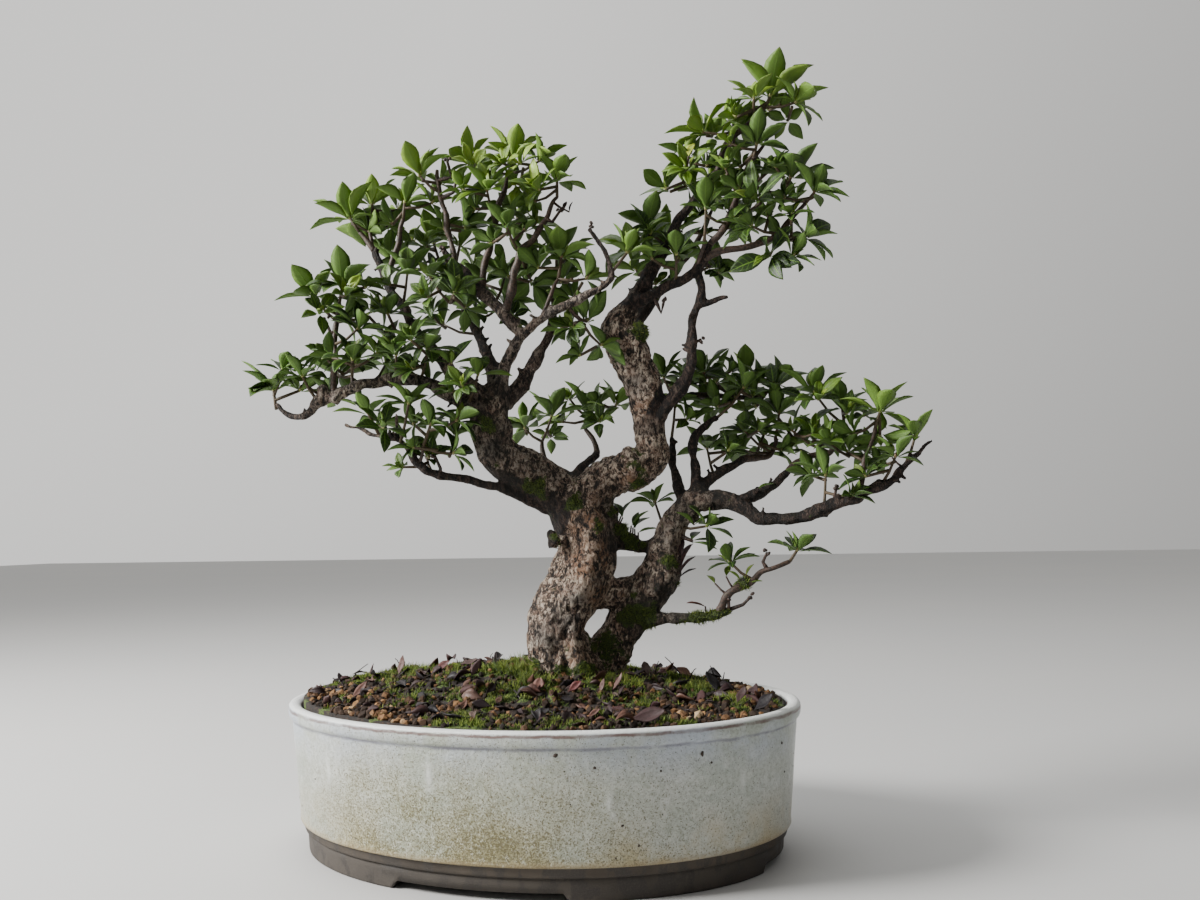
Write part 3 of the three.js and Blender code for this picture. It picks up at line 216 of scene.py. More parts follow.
# a lump with twelve corners and twenty faces, for grains, knobs, pods and specks
golden = (1 + math.sqrt(5)) / 2
lumpReach = 1.902  # from the middle to a corner, before the corners are scaled to 1
lumpCorners = np.array([(-1, golden, 0), (1, golden, 0), (-1, -golden, 0), (1, -golden, 0),
                        (0, -1, golden), (0, 1, golden), (0, -1, -golden), (0, 1, -golden),
                        (golden, 0, -1), (golden, 0, 1), (-golden, 0, -1), (-golden, 0, 1)]) / lumpReach
lumpFaces = np.array([(0, 11, 5), (0, 5, 1), (0, 1, 7), (0, 7, 10), (0, 10, 11), (1, 5, 9), (5, 11, 4),
                      (11, 10, 2), (10, 7, 6), (7, 1, 8), (3, 9, 4), (3, 4, 2), (3, 2, 6), (3, 6, 8),
                      (3, 8, 9), (4, 9, 5), (2, 4, 11), (6, 2, 10), (8, 6, 7), (9, 8, 1)])


# materials

class Nodes:
    # a tree of shader nodes, with a short way to add each kind that the finishes need
    def __init__(self, tree, place=None):
        self.tree, self.place = tree, place

    def add(self, kind, sockets=None, **settings):
        made = self.tree.nodes.new("ShaderNode" + kind)
        for setting, value in settings.items():
            setattr(made, setting, value)
        self.fill(made, sockets or {})
        return made

    def fill(self, node, sockets):
        for name, value in sockets.items():
            if isinstance(value, bpy.types.NodeSocket):
                self.tree.links.new(value, node.inputs[name])
            else:
                node.inputs[name].default_value = value

    def math(self, operation, first, second=0.5):
        return self.add("Math", {0: first, 1: second}, operation=operation).outputs[0]

    def plus(self, first, second):
        return self.math("ADD", first, second)

    def times(self, first, second):
        return self.math("MULTIPLY", first, second)

    def band(self, value, low, high, toLow=0.0, toHigh=1.0):
        return self.add("MapRange", {"Value": value, "From Min": low, "From Max": high,
                                     "To Min": toLow, "To Max": toHigh}).outputs[0]

    def value(self, label):
        return self.add("Attribute", attribute_name=label).outputs["Fac"]

    def stretched(self, *scale):
        return self.add("Mapping", {"Vector": self.place, "Scale": scale}).outputs[0]

    def noise(self, scale, detail=3.0, roughness=0.55, distortion=0.0, place=None):
        return self.add("TexNoise", {"Vector": place or self.place, "Scale": scale, "Detail": detail,
                                     "Roughness": roughness, "Distortion": distortion}).outputs["Fac"]

    def blotches(self, scale, detail, low, high, place=None):
        return self.add("Group", {"Vector": place or self.place, "Scale": scale, "Detail": detail,
                                  "Low": low, "High": high}, node_tree=blotch).outputs["Mask"]

    def ramp(self, value, stops):
        ramp = self.add("ValToRGB", {"Fac": value})
        elements = ramp.color_ramp.elements
        for index, (spot, colour) in enumerate(stops):
            element = elements[index] if index < 2 else elements.new(spot)
            element.position, element.color = spot, (*colour, 1)
        return ramp.outputs["Color"]

    def blend(self, mask, first, second):
        colours = [(*colour, 1) if isinstance(colour, tuple) else colour for colour in (first, second)]
        return self.add("Mix", {0: mask, 6: colours[0], 7: colours[1]}, data_type="RGBA").outputs[2]

    def layered(self, colour, layers):
        # lays tints over a colour one after the other: each has its mask, its tint and, at the end, its share
        for mask, tint, *share in layers:
            colour = self.blend(self.times(mask, *share) if share else mask, colour, tint)
        return colour

    def grown(self, colour):
        sockets = {"Vector": self.place, "Colour": colour, "Mask": self.value("moss"),
                   "Dark": mossDark, "Bright": mossBright}
        return self.add("Group", sockets, node_tree=mossOver).outputs["Colour"]


class Finish(Nodes):
    # a material whose place is measured from the pot's middle
    def __init__(self, name):
        self.material = bpy.data.materials.new(name)
        self.material.use_nodes = True
        super().__init__(self.material.node_tree)
        self.place = self.add("Mapping", {"Vector": self.add("TexCoord").outputs["Object"],
                                          "Location": tuple(-potMiddle)}).outputs[0]

    def done(self, colour, rough, height=None, strength=0.5, distance=0.001, **others):
        sockets = {"Base Color": colour, "Roughness": rough}
        if height is not None:
            bump = self.add("Bump", {"Height": height, "Strength": strength, "Distance": distance})
            sockets["Normal"] = bump.outputs["Normal"]
        sockets.update({shaderSockets[name]: value for name, value in others.items()})
        self.fill(self.tree.nodes["Principled BSDF"], sockets)
        return self.material


shaderSockets = {"sheen": "Specular IOR Level", "coat": "Coat Weight", "coatRoughness": "Coat Roughness",
                 "glow": "Subsurface Weight", "glowReach": "Subsurface Radius"}


def newGroup(name, inputs, outputs):
    # inputs and outputs are names by kind of socket
    tree = bpy.data.node_groups.new(name, "ShaderNodeTree")
    for side, sockets in (("INPUT", inputs), ("OUTPUT", outputs)):
        for label, kind in sockets.items():
            tree.interface.new_socket(label, in_out=side, socket_type="NodeSocket" + kind)
    inside = tree.nodes.new("NodeGroupInput").outputs
    return Nodes(tree, inside["Vector"]), inside, tree.nodes.new("NodeGroupOutput")


# soft blotches: a mask from 0 to 1 with blotches of a size given per metre
use, inside, outside = newGroup("blotch", {"Vector": "Vector", "Scale": "Float", "Detail": "Float",
                                           "Low": "Float", "High": "Float"}, {"Mask": "Float"})
cloud = use.noise(inside["Scale"], inside["Detail"], 0.6)
use.fill(outside, {"Mask": use.band(cloud, inside["Low"], inside["High"])})
blotch = use.tree

# moss: what grows over a colour where the mask says so
use, inside, outside = newGroup("mossOver", {"Vector": "Vector", "Colour": "Color", "Mask": "Float",
                                             "Dark": "Color", "Bright": "Color"},
                                {"Colour": "Color", "Mask": "Float"})
mossMask = use.band(use.plus(inside["Mask"], use.times(use.noise(260.0, 7.0, 0.75), 1.3)), 1.02, 1.14)
green = use.blend(use.band(use.noise(1400.0, 3.0, 0.7), 0.42, 0.6), inside["Dark"], inside["Bright"])
use.fill(outside, {"Colour": use.blend(mossMask, inside["Colour"], green), "Mask": mossMask})
mossOver = use.tree
mossDark, mossBright = (0.008, 0.017, 0.003, 1), (0.11, 0.165, 0.02, 1)

print("groups of nodes ready")

# camera

cameraSeat = {"place": (38.3, -631.9, 178.9), "pitch": 4.18, "roll": -1.14, "view": 58.4}


def matrixOf(columns):
    return Matrix([[column[row] for column in columns] for row in range(3)] + [[0, 0, 0, 1]])


def placeCamera(seat):
    pitch, roll = math.radians(seat["pitch"]), math.radians(seat["roll"])
    right, top = np.array([1.0, 0, 0]), np.array([0, -math.sin(pitch), math.cos(pitch)])
    ahead = np.array([0, math.cos(pitch), math.sin(pitch)])
    rightRolled = right * math.cos(roll) + top * math.sin(roll)
    topRolled = top * math.cos(roll) - right * math.sin(roll)
    lens = bpy.data.cameras.new("camera")
    lens.sensor_fit = "HORIZONTAL"
    lens.angle = math.radians(seat["view"])
    camera = bpy.data.objects.new("camera", lens)
    place = inFrame(turned(seat["place"]))
    camera.matrix_world = matrixOf([turned(rightRolled), turned(topRolled), turned(-ahead), place])
    bpy.context.scene.collection.objects.link(camera)
    bpy.context.scene.camera = camera


placeCamera(cameraSeat)
print("camera placed")

# pot

pot = {"length": 300, "width": 220, "narrowing": 0.9, "around": 480, "wallStep": 1.3,
       "footGap": 4.5, "gapCorner": 3.0, "frontGapHalf": 46, "endGapHalf": 29, "clearOfDrains": 60,
       "drainRadius": 12, "drainOffset": 62, "drainHeights": (4, 26),
       # the outside of the wall: half its length at the foot, how far it leans out, and its low and high ends
       "wallReach": 142.8, "wallLean": 4.7, "wallLow": 20, "wallHigh": 72,
       "rollHeight": 73, "glazeFoot": 16.9, "glazeReach": 140.5,
       "unevenness": 0.22, "unevenHeights": (12, 81), "peel": 0.09,
       # thickened runs of glaze: degrees round the wall, height, half width, half length, thickness
       "runs": [(298, 48, 1.2, 5, 0.5), (298.6, 42, 1.6, 1.8, 0.4), (310, 47, 1.4, 1.6, 0.45),
                (262, 60, 2, 7, 0.3), (233, 55, 1.6, 8, 0.25), (330, 52, 1.8, 6, 0.3), (75, 50, 1.8, 8, 0.35),
                (130, 44, 1.4, 6, 0.4)],
       # specks stuck to the wall: degrees, height, radius
       "specks": [(287.5, 71.5, 1.3), (295, 65, 0.8), (318, 68.5, 1.7), (320.5, 63.5, 0.9), (308.5, 62, 0.8),
                  (300.5, 37, 0.9), (304, 27, 0.7), (346, 66, 1.0), (349, 50, 0.8), (309, 41, 0.6),
                  (226, 48, 0.6)],
       # crumbs, more of them low on the wall
       "crumbs": 150, "crumbFoot": 21, "crumbRise": 50, "seed": 12,
       # half length and height, from under the floor over the outside and the lip to the floor within
       "profile": [
           (20, 10), (90, 10), (122, 10), (124, 9.6), (125, 8), (125.6, 3), (125.7, 0.7), (126.4, 0),
           (132, 0), (136.9, 0), (137.6, 0.4), (137.8, 1.2), (138, 4), (138.3, 8), (138.4, 10.2),
           (138.1, 10.9), (137.8, 11.3), (138.2, 11.7), (139.6, 12), (140.3, 12.5), (140.6, 13.5),
           (140.9, 16.4), (141.3, 16.9), (142, 17), (142.6, 17.3), (142.95, 18), (142.9, 19), (142.8, 20.5),
           (143.1, 24), (143.9, 33), (144.8, 43), (145.7, 53), (146.6, 62), (147.3, 69), (147.5, 72.4),
           (147.65, 73.6), (148.1, 74.4), (148.9, 75), (149.5, 75.9), (149.85, 77.2), (150, 78.8),
           (149.9, 80.2), (149.5, 81.3), (148.8, 82.2), (147.7, 82.7), (146.3, 82.8), (144.9, 82.6),
           (143.7, 82.1), (142.7, 81.2), (142.2, 79.8), (141.6, 76), (138.8, 50), (134.5, 27), (130, 20),
           (90, 20), (20, 20)]}


def shortAxis(longAxis):
    # half the width of the oval that has this half length
    inner = pot["length"] / 3
    outer = pot["width"] / 2 - (pot["length"] / 2 - max(longAxis, inner)) * pot["narrowing"]
    return outer * min(longAxis / inner, 1)


def ovalRing(longAxis, height, around):
    angle = np.arange(around) / around * wholeTurn
    return np.stack([np.cos(angle) * longAxis, np.sin(angle) * shortAxis(longAxis),
                     np.full(around, float(height))], axis=1)


def makeGlaze():
    use = Finish("celadonGlaze")
    across, front, height = use.add("SeparateXYZ", {"Vector": use.place}).outputs
    grain = use.noise(560.0, 5.0, 0.7)
    cream = use.blotches(34.0, 5.0, 0.38, 0.6)
    # olive and rusty speckle, thickest low on the front
    middle = use.math("ABSOLUTE", use.plus(across, 0.012))
    spread = use.times(use.band(middle, 0.125, 0.04), use.band(front, -0.01, -0.075))
    spread = use.times(spread, use.band(height, 0.078, 0.040, 0.25, 1.0))
    stain = use.times(spread, use.band(use.blotches(36.0, 6.0, 0.34, 0.66), 0.0, 1.0, 0.3, 1.0))
    thick = use.plus(use.times(stain, 0.13), use.band(height, 0.07, 0.02, 0.0, 0.04))
    dots = use.band(use.plus(use.noise(1150.0, 3.0, 0.7), thick), 0.625, 0.665)
    # the clay shows as a purple brown line along the lip; the thin line under the roll is painted shade
    level = use.plus(height, use.band(use.noise(110.0, 4.0), 0.3, 0.7, -0.0005, 0.0005))
    lipLine = use.times(use.band(level, 0.0793, 0.0799), use.band(level, 0.0814, 0.0807))
    rollShadeLine = use.times(use.band(level, 0.0726, 0.0736), use.band(level, 0.0752, 0.0742))
    drift = use.ramp(use.noise(17.0, 6.0, 0.6), [(0.38, (0.36, 0.40, 0.35)), (0.5, (0.47, 0.50, 0.455)),
                                                 (0.62, (0.55, 0.575, 0.55))])
    colour = use.layered(drift, [
        # fine granules of the glaze, a coarser curdling, and cream low down
        (use.band(grain, 0.46, 0.62, 0.0, 0.55), (0.22, 0.235, 0.185)),
        (use.band(use.noise(150.0, 5.0, 0.65), 0.52, 0.66, 0.0, 0.4), (0.66, 0.68, 0.64)),
        (use.times(cream, use.band(height, 0.046, 0.018)), (0.44, 0.38, 0.23)),
        # bluer under the lip: painted shade below the overhanging lip
        (use.times(use.band(height, 0.055, 0.073), cream), (0.40, 0.46, 0.58), 0.6),
        (stain, (0.25, 0.235, 0.095), 0.8),
        (use.times(use.band(use.noise(430.0, 5.0, 0.75), 0.52, 0.6), stain), (0.15, 0.125, 0.045), 0.75),
        (use.times(use.band(use.noise(520.0, 5.0, 0.75), 0.53, 0.6), spread), (0.60, 0.61, 0.52), 0.6),
        (dots, (0.11, 0.09, 0.03), 0.85),
        (use.band(use.noise(1500.0, 1.0, 0.5), 0.70, 0.73), (0.05, 0.04, 0.025)),
        (use.value("run"), (0.66, 0.68, 0.65)),
        (use.times(lipLine, use.band(use.noise(45.0, 5.0), 0.38, 0.58, 0.4, 0.95)), (0.14, 0.085, 0.075)),
        # painted highlight: the top of the lip is near white
        (use.band(height, 0.0810, 0.0818), (0.82, 0.83, 0.81), 0.8),
        # painted shade: a thin blue grey line under the roll
        (use.times(rollShadeLine, use.band(use.noise(60.0, 5.0), 0.35, 0.6, 0.25, 0.85)), (0.17, 0.17, 0.21)),
        (use.band(level, 0.0205, 0.0176), (0.30, 0.22, 0.11), 0.6)])
    relief = use.math("SUBTRACT", grain, use.times(dots, 0.4))
    return use.done(colour, use.band(stain, 0.0, 1.0, 0.3, 0.55), relief, 0.5, 0.0014,
                    coat=0.15, coatRoughness=0.2)


def makeClay():
    use = Finish("bareStoneware")
    height = use.add("SeparateXYZ", {"Vector": use.place}).outputs["Z"]
    stain = use.blotches(110.0, 7.0, 0.49, 0.54, use.stretched(1.0, 1.0, 0.5))
    grit = use.noise(1300.0, 4.0, 0.7)
    colour = use.blend(use.blotches(25.0, 3.0, 0.35, 0.65), (0.042, 0.033, 0.025), (0.078, 0.063, 0.048))
    colour = use.layered(colour, [
        (use.band(height, 0.0112, 0.0124, 0.5, 0.0), (0.05, 0.045, 0.04)),
        (use.band(stain, 0.0, 1.0, 0.0, 0.78), (0.022, 0.017, 0.013)),
        (use.band(grit, 0.45, 0.7, 0.0, 0.5), (0.07, 0.058, 0.048))])
    return use.done(colour, use.band(stain, 0.0, 1.0, 0.85, 0.6), grit, 0.4, 0.0006)


def makeSpeckFinish():
    use = Finish("ironSpeck")
    grit = use.noise(2500.0)
    colour = use.blend(use.band(grit, 0.4, 0.6), (0.018, 0.012, 0.009), (0.07, 0.045, 0.03))
    return use.done(colour, 0.7, grit, 0.3, 0.0003)


def closeSpaced(profile):
    # more rings on the outside of the wall, so that it can be uneven
    spaced = [profile[0]]
    for near, far in zip(profile, profile[1:]):
        isOuter = min(near[0], far[0]) >= pot["wallReach"]
        onWall = isOuter and min(near[1], far[1]) > pot["wallLow"] and far[1] < pot["rollHeight"]
        parts = max(1, round(math.dist(near, far) / pot["wallStep"])) if onWall else 1
        spaced += [tuple(a + (b - a) * part / parts for a, b in zip(near, far))
                   for part in range(1, parts + 1)]
    return spaced


def onPotWall(degrees, height):
    share = pot["wallLean"] * (height - pot["wallLow"]) / (pot["wallHigh"] - pot["wallLow"])
    longAxis = pot["wallReach"] + share
    angle = math.radians(degrees)
    return np.array([math.cos(angle) * longAxis, math.sin(angle) * shortAxis(longAxis), height])


def drillHole(piece, side, clay):
    radius = pot["drainRadius"]
    # a round drill, out of an oval of this half length
    oval, sides = 100, 48
    rings = [ovalRing(oval, height, sides) * (radius / oval, radius / shortAxis(oval), 1)
             for height in pot["drainHeights"]]
    points, quads, tris = closed(rings, [[0, 0, height] for height in pot["drainHeights"]])
    drill = newBundle()
    addTo(drill, points + (side * pot["drainOffset"], 0, 0), quads, tris)
    cutter = makePiece("drill", drill, [clay])
    hole = piece.modifiers.new("hole", "BOOLEAN")
    hole.object, hole.operation, hole.solver = cutter, "DIFFERENCE", "EXACT"
    applyModifiers(piece)
    bpy.data.objects.remove(cutter)


def applyModifiers(piece):
    shaped = bpy.data.meshes.new_from_object(piece.evaluated_get(bpy.context.evaluated_depsgraph_get()))
    piece.modifiers.clear()
    piece.data = shaped


def makePot(glaze, clay):
    profile, around = closeSpaced(pot["profile"]), pot["around"]
    points, quads, tris = closed([ovalRing(longAxis, height, around) for longAxis, height in profile],
                                 [[0, 0, profile[0][1]], [0, 0, profile[-1][1]]])
    level, height = np.hypot(points[:, 0], points[:, 1]), points[:, 2].copy()
    # four feet, with a gap between them on every side
    inGap = np.maximum(pot["frontGapHalf"] - np.abs(points[:, 0]), pot["endGapHalf"] - np.abs(points[:, 1]))
    corner = pot["gapCorner"]
    arch = pot["footGap"] - corner + np.sqrt(corner ** 2 - np.clip(corner - inGap, 0, corner) ** 2)
    lifted = (inGap > 0) & (height < pot["footGap"]) & (level > pot["clearOfDrains"])
    points[lifted, 2] = np.maximum(height[lifted], arch[lifted])
    height = points[:, 2].copy()
    # the thrown wall is a little uneven, pitted like orange peel, and has runs of glaze
    lowest, highest = pot["unevenHeights"]
    wobble = (layeredNoise(points, 38, 3, 5) - 1) * pot["unevenness"] * (height > lowest) * (height < highest)
    onWall = (height > pot["wallLow"] - 1) * (height < pot["rollHeight"])
    wobble += layeredNoise(points, 5, 2, 17) * pot["peel"] * onWall
    run = np.zeros(len(points))
    for degrees, seat, halfWidth, halfLength, thickness in pot["runs"]:
        apart = points - onPotWall(degrees, seat)
        near = (np.hypot(apart[:, 0], apart[:, 1]) / halfWidth) ** 2 + (apart[:, 2] / halfLength) ** 2
        wobble += thickness * np.exp(-near) * onWall
        run = np.maximum(run, np.exp(-near) * onWall * 0.7)
    points += points * (1, 1, 0) / np.maximum(level, 1)[:, None] * wobble[:, None]
    bundle = newBundle("run")
    addTo(bundle, points, quads, tris, 1, run=run)
    glazed = [height >= pot["glazeFoot"] and longAxis > pot["glazeReach"] for longAxis, height in profile]
    bundle["quadSlots"] = [0 if glazed[index // around] else 1 for index in range(len(quads))]
    piece = makePiece("glazedPot", bundle, [glaze, clay])
    for side in (-1, 1):
        drillHole(piece, side, clay)
    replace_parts(piece, "pot")


def makeSpecks(finish, dice):
    # iron specks and crumbs of soil that stick to the wall
    bundle = newBundle()
    specks = list(pot["specks"])
    for _ in range(pot["crumbs"]):
        degrees = dice.uniform(0, 360)
        height = pot["crumbFoot"] + pot["crumbRise"] * dice.random() ** 1.5
        specks.append((degrees, height, 0.16 + 0.4 * dice.random() ** 3))
    for degrees, height, radius in specks:
        shape = lumpCorners * dice.uniform(0.7, 1.2, (12, 1)) * dice.uniform(0.7, 1.2, 3) * radius
        seat = onPotWall(degrees, height)
        outward = unit(seat * (1, 1, 0))
        shape -= outward * (shape @ outward)[:, None] * 0.6
        addTo(bundle, shape + seat - outward * 0.15, [], lumpFaces)
    makePiece("wallSpecks", bundle, [finish])


makePot(makeGlaze(), makeClay())
makeSpecks(makeSpeckFinish(), np.random.default_rng(pot["seed"]))
print("pot made")


def makeScreenPlastic():
    use = Finish("screenPlastic")
    dust = use.blotches(200.0, 4.0, 0.45, 0.7)
    return use.done(use.blend(dust, (0.012, 0.014, 0.016), (0.07, 0.055, 0.04)), 0.55, dust, 0.1, 0.0004)


screenPlastic = makeScreenPlastic()
for nodeName in ("drain_screen_left", "drain_screen_right"):
    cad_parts[nodeName].data.materials.clear()
    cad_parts[nodeName].data.materials.append(screenPlastic)

# soil

soil = {"edge": 81.6, "slope": 0.016, "mound": 18, "moundMiddle": (-2, 16), "moundReach": (92, 62),
        # half its length at the rim, and the sides under the rim as half length and height
        "wall": 141.2, "skirt": [(129.2, 20.4), (133.7, 27.4), (140.3, 60), (141.0, 76)],
        "lumps": 2.2, "cushion": 1.8, "around": 220, "rings": 64, "seed": 41,
        # x, y, radius of what the trunks take up
        "trunks": [(17, 12, 21), (38, 22, 13)],
        "grains": 4600, "smallGrain": (0.8, 1.8), "largeGrain": (1.6, 2.9),
        "mossAbove": 70, "mossTufts": 4300, "tuftHeight": (1.8, 4.6), "tuftBlades": 9,
        "litter": 260, "litterLength": (6, 14), "sticks": 90, "stickLength": (4, 12), "stickRadius": 0.4,
        # x, y, radius of the cushions of moss
        "moss": [(-17, -40, 15), (-11, -90, 13), (9, -88, 13), (36, -82, 13), (-8, 8, 15), (74, -34, 9),
                 (100, -72, 11), (90, 13, 13), (-118, 12, 16), (-97, 46, 20), (-92, 64, 12), (-68, 26, 12),
                 (30, 60, 18), (-20, 76, 16), (76, 54, 14), (-60, -62, 8), (118, -8, 8), (4, -20, 11),
                 (40, -12, 10)],
        # x, y, radius of the places where the moss stands tall
        "tall": [(-6, -12, 10), (2, -26, 9), (-14, 2, 10), (-100, 46, 14), (-20, 40, 12), (60, -4, 8)],
        # x, y, radius of the places where the grains lie bare
        "bare": [(-72, -78, 24), (-44, -88, 19), (-21, -58, 11), (94, -50, 14), (128, -52, 14),
                 (-114, -30, 16), (112, 40, 14), (-42, 62, 14)],
        # leaves: x, y, lift, length, breadth, then degrees of turn, rise and roll, then tone, red, pale
        "leaves": [(13, -38, 2.5, 8, 1.9, 84, 58, 10, 0.9, 0.55, 0.2),
                   (29, -35, 1.5, 10, 1.0, 25, 38, 60, 0.9, 1, 0),
                   (46, -31, 1, 9, 0.8, 70, 70, 0, 0.8, 0.2, 0.1),
                   (50, -21, 1, 12, 0.6, 38, 54, 20, 0.8, 0.2, 0.12),
                   (74, -74, 3, 19, 1.0, 8, 10, 48, 0.6, 0.1, 0),
                   (103, 9, 3, 17, 1.1, 120, 34, 20, 0.1, 0, 0),
                   (119, -24, 2, 12, 1.0, 60, 42, 10, 0.5, 0.1, 0.03),
                   (129, -30, 2, 14, 1.2, 20, 34, 30, 0.1, 0, 0),
                   (-100, 20, 1, 14, 0.8, 76, 66, 0, 0.8, 0.2, 0.1),
                   (-98, -42, 1, 14, 0.8, 58, 38, 30, 0.9, 0.2, 0.08),
                   (-38, -48, 1.5, 11, 1.0, 10, 12, 35, 0.7, 0.3, 0),
                   (-72, 12, 2, 12, 1.0, 22, 30, 50, 0.8, 0.7, 0),
                   (-56, 14, 2, 13, 1.2, 10, 14, 20, 0.4, 0.1, 0.1),
                   (-4, -90, 2.5, 19, 0.7, 176, 6, 15, 0.1, 0, 0),
                   (20, -72, 1.5, 12, 0.9, 30, 18, 40, 0.1, 0, 0),
                   (9, -62, 1.5, 12, 1.2, 200, 12, 10, 0.2, 0, 0.05),
                   (-120, -12, 2, 13, 1.0, 130, 30, 30, 0.5, 0.1, 0),
                   (62, -52, 1.5, 12, 1.0, 160, 18, 30, 0.4, 0.1, 0)],
        # x, y, length, lean of the twigs that stick up
        "upright": [(60, 42, 10, 0.2), (74, 46, 13, -0.7), (80, 44, 9, 0.5), (96, 44, 12, -0.25),
                    (101, 40, 9, 0.1), (-126, 8, 13, 0.9), (-108, 40, 10, -0.4), (88, 36, 8, 0.8),
                    (-60, 70, 11, 0.3)]}


def nearSpots(points, spots):
    # 1 at the middle of each spot, and less with the distance from it
    field = np.zeros(len(points))
    for *middle, radius in spots:
        away = ((points[:, :len(middle)] - middle) ** 2).sum(axis=1)
        field = np.maximum(field, np.exp(-away / radius ** 2))
    return field


def mossOnSoil(points):
    # 0 on bare soil to 1 in a cushion
    ragged = layeredNoise(points * (1, 1, 0), 8, 3, 23)
    bare = nearSpots(points, soil["bare"])
    return np.clip(nearSpots(points, soil["moss"]) * 1.1 + ragged * 1.45 - bare * 0.35 + 0.05, 0, 1)


def groundHeight(points):
    x, y = points[:, 0], points[:, 1]
    (middleX, middleY), (reachX, reachY) = soil["moundMiddle"], soil["moundReach"]
    mound = np.exp(-((x - middleX) / reachX) ** 2 - ((y - middleY) / reachY) ** 2)
    base = soil["edge"] - soil["slope"] * x + soil["mound"] * mound
    rim = np.hypot(x / soil["wall"], y / shortAxis(soil["wall"]))
    # the lumps fade out towards the rim
    fade = np.clip((1 - rim) * 9, 0, 1)
    lumps = layeredNoise(points * (1, 1, 0), 19, 3, 11) * soil["lumps"] + mossOnSoil(points) * soil["cushion"]
    return base + (lumps - 0.8) * fade


def onGround(x, y, lift=0.0):
    foot = np.array([x, y, 0.0])
    return foot + up * (groundHeight(foot[None])[0] + lift)


def makeSoilFinish():
    use = Finish("moistSoil")
    crumb = use.noise(520.0, 6.0, 0.7)
    colour = use.ramp(crumb, [(0.4, (0.005, 0.004, 0.003)), (0.52, (0.016, 0.010, 0.007)),
                              (0.62, (0.055, 0.028, 0.013)), (0.74, (0.16, 0.08, 0.03))])
    damp = use.band(use.noise(60.0, 4.0), 0.4, 0.62, 0.0, 0.55)
    return use.done(use.grown(use.blend(damp, colour, (0.018, 0.012, 0.010))), 0.85, crumb, 0.8, 0.0015)


def makeGrainFinish():
    use = Finish("akadamaGrain")
    colour = use.ramp(use.value("tone"), [
        (0.0, (0.010, 0.007, 0.006)), (0.4, (0.042, 0.023, 0.013)), (0.62, (0.13, 0.064, 0.026)),
        (0.86, (0.29, 0.155, 0.065)), (1.0, (0.46, 0.33, 0.19))])
    grit = use.noise(1500.0, 5.0, 0.7)
    colour = use.blend(use.band(grit, 0.5, 0.68, 0.0, 0.6), colour, (0.045, 0.026, 0.014))
    return use.done(colour, 0.85, grit, 0.6, 0.0005, sheen=0.3)


def makeDeadLeafFinish():
    use = Finish("deadLeaf")
    colour = use.ramp(use.value("tone"), [(0.0, (0.006, 0.005, 0.007)), (0.45, (0.017, 0.011, 0.013)),
                                          (0.75, (0.045, 0.022, 0.021)), (1.0, (0.11, 0.05, 0.032))])
    spots = use.noise(420.0, 6.0, 0.7)
    colour = use.layered(colour, [
        (use.value("red"), (0.11, 0.024, 0.022)),
        (use.value("pale"), (0.40, 0.24, 0.18)),
        (use.band(spots, 0.48, 0.66, 0.0, 0.6), (0.022, 0.014, 0.012))])
    return use.done(colour, use.band(spots, 0.4, 0.6, 0.45, 0.7), spots, 0.4, 0.0006, sheen=0.32)


def makeMossFinish():
    use = Finish("mossBlade")
    colour = use.ramp(use.value("tone"), [(0.0, (0.014, 0.028, 0.004)), (0.32, (0.065, 0.11, 0.012)),
                                          (0.65, (0.20, 0.265, 0.026)), (1.0, (0.40, 0.44, 0.075))])
    patch = use.noise(75.0, 4.0)
    colour = use.blend(use.band(patch, 0.45, 0.65, 0.0, 0.45), colour, (0.10, 0.10, 0.018))
    return use.done(colour, 0.75, patch, 0.2, 0.0005, glow=0.08, glowReach=(0.001, 0.002, 0.0005))


def makeGround(finish):
    around = soil["around"]
    rings = [ovalRing(longAxis, height, around) for longAxis, height in soil["skirt"]]
    for share in np.linspace(1, 0.02, soil["rings"]):
        rings.append(ovalRing(soil["wall"], 0, around) * (share, share, 1))
        rings[-1][:, 2] = groundHeight(rings[-1])
    points, quads, tris = closed(rings, [(0, 0, soil["skirt"][0][1]), onGround(0, 0)])
    bundle = newBundle("moss")
    addTo(bundle, points, quads, tris, moss=mossOnSoil(points) * (points[:, 2] > soil["mossAbove"]))
    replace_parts(makePiece("soilBed", bundle, [finish]), "soil")


def spotsOnSoil(dice, count, share=0.97):
    # even draws over the oval, clear of the trunks
    longAxis, spots = soil["wall"], []
    while len(spots) < count:
        x, y = dice.uniform(-1, 1, 2) * (longAxis * share, shortAxis(longAxis) * share)
        inOval = math.hypot(x / longAxis, y / shortAxis(longAxis)) < share
        if inOval and all(math.dist((x, y), trunk[:2]) > trunk[2] for trunk in soil["trunks"]):
            spots.append((x, y, 0.0))
    spots = np.array(spots)
    spots[:, 2] = groundHeight(spots)
    return spots


def anyTurn(dice):
    # a matrix that turns a shape any way
    first, second, _ = dice.normal(size=(3, 3))
    x = unit(first)
    z = unit(np.cross(x, second))
    return np.stack([x, np.cross(z, x), z], axis=1)


def makeGrains(finish, dice):
    bundle = newBundle("tone")
    spots = spotsOnSoil(dice, soil["grains"], 0.985)
    bare, mossy = nearSpots(spots, soil["bare"]), mossOnSoil(spots)
    for spot, isBare, isMossy in zip(spots, bare, mossy):
        if dice.random() < isMossy * 0.75:
            continue
        size = "smallGrain" if dice.random() < 0.74 - 0.4 * isBare else "largeGrain"
        radius = dice.uniform(*soil[size])
        shape = lumpCorners * dice.uniform(0.75, 1.2, (12, 1)) * dice.uniform(0.75, 1.15, 3)
        tone = dice.random() ** 1.8 * 0.75 + isBare * dice.uniform(0.1, 0.5)
        points = shape @ anyTurn(dice).T * radius + spot + up * radius * 0.3
        addTo(bundle, points, [], lumpFaces, tone=min(tone, 1))
    makePiece("soilGrains", bundle, [finish], smooth=False)


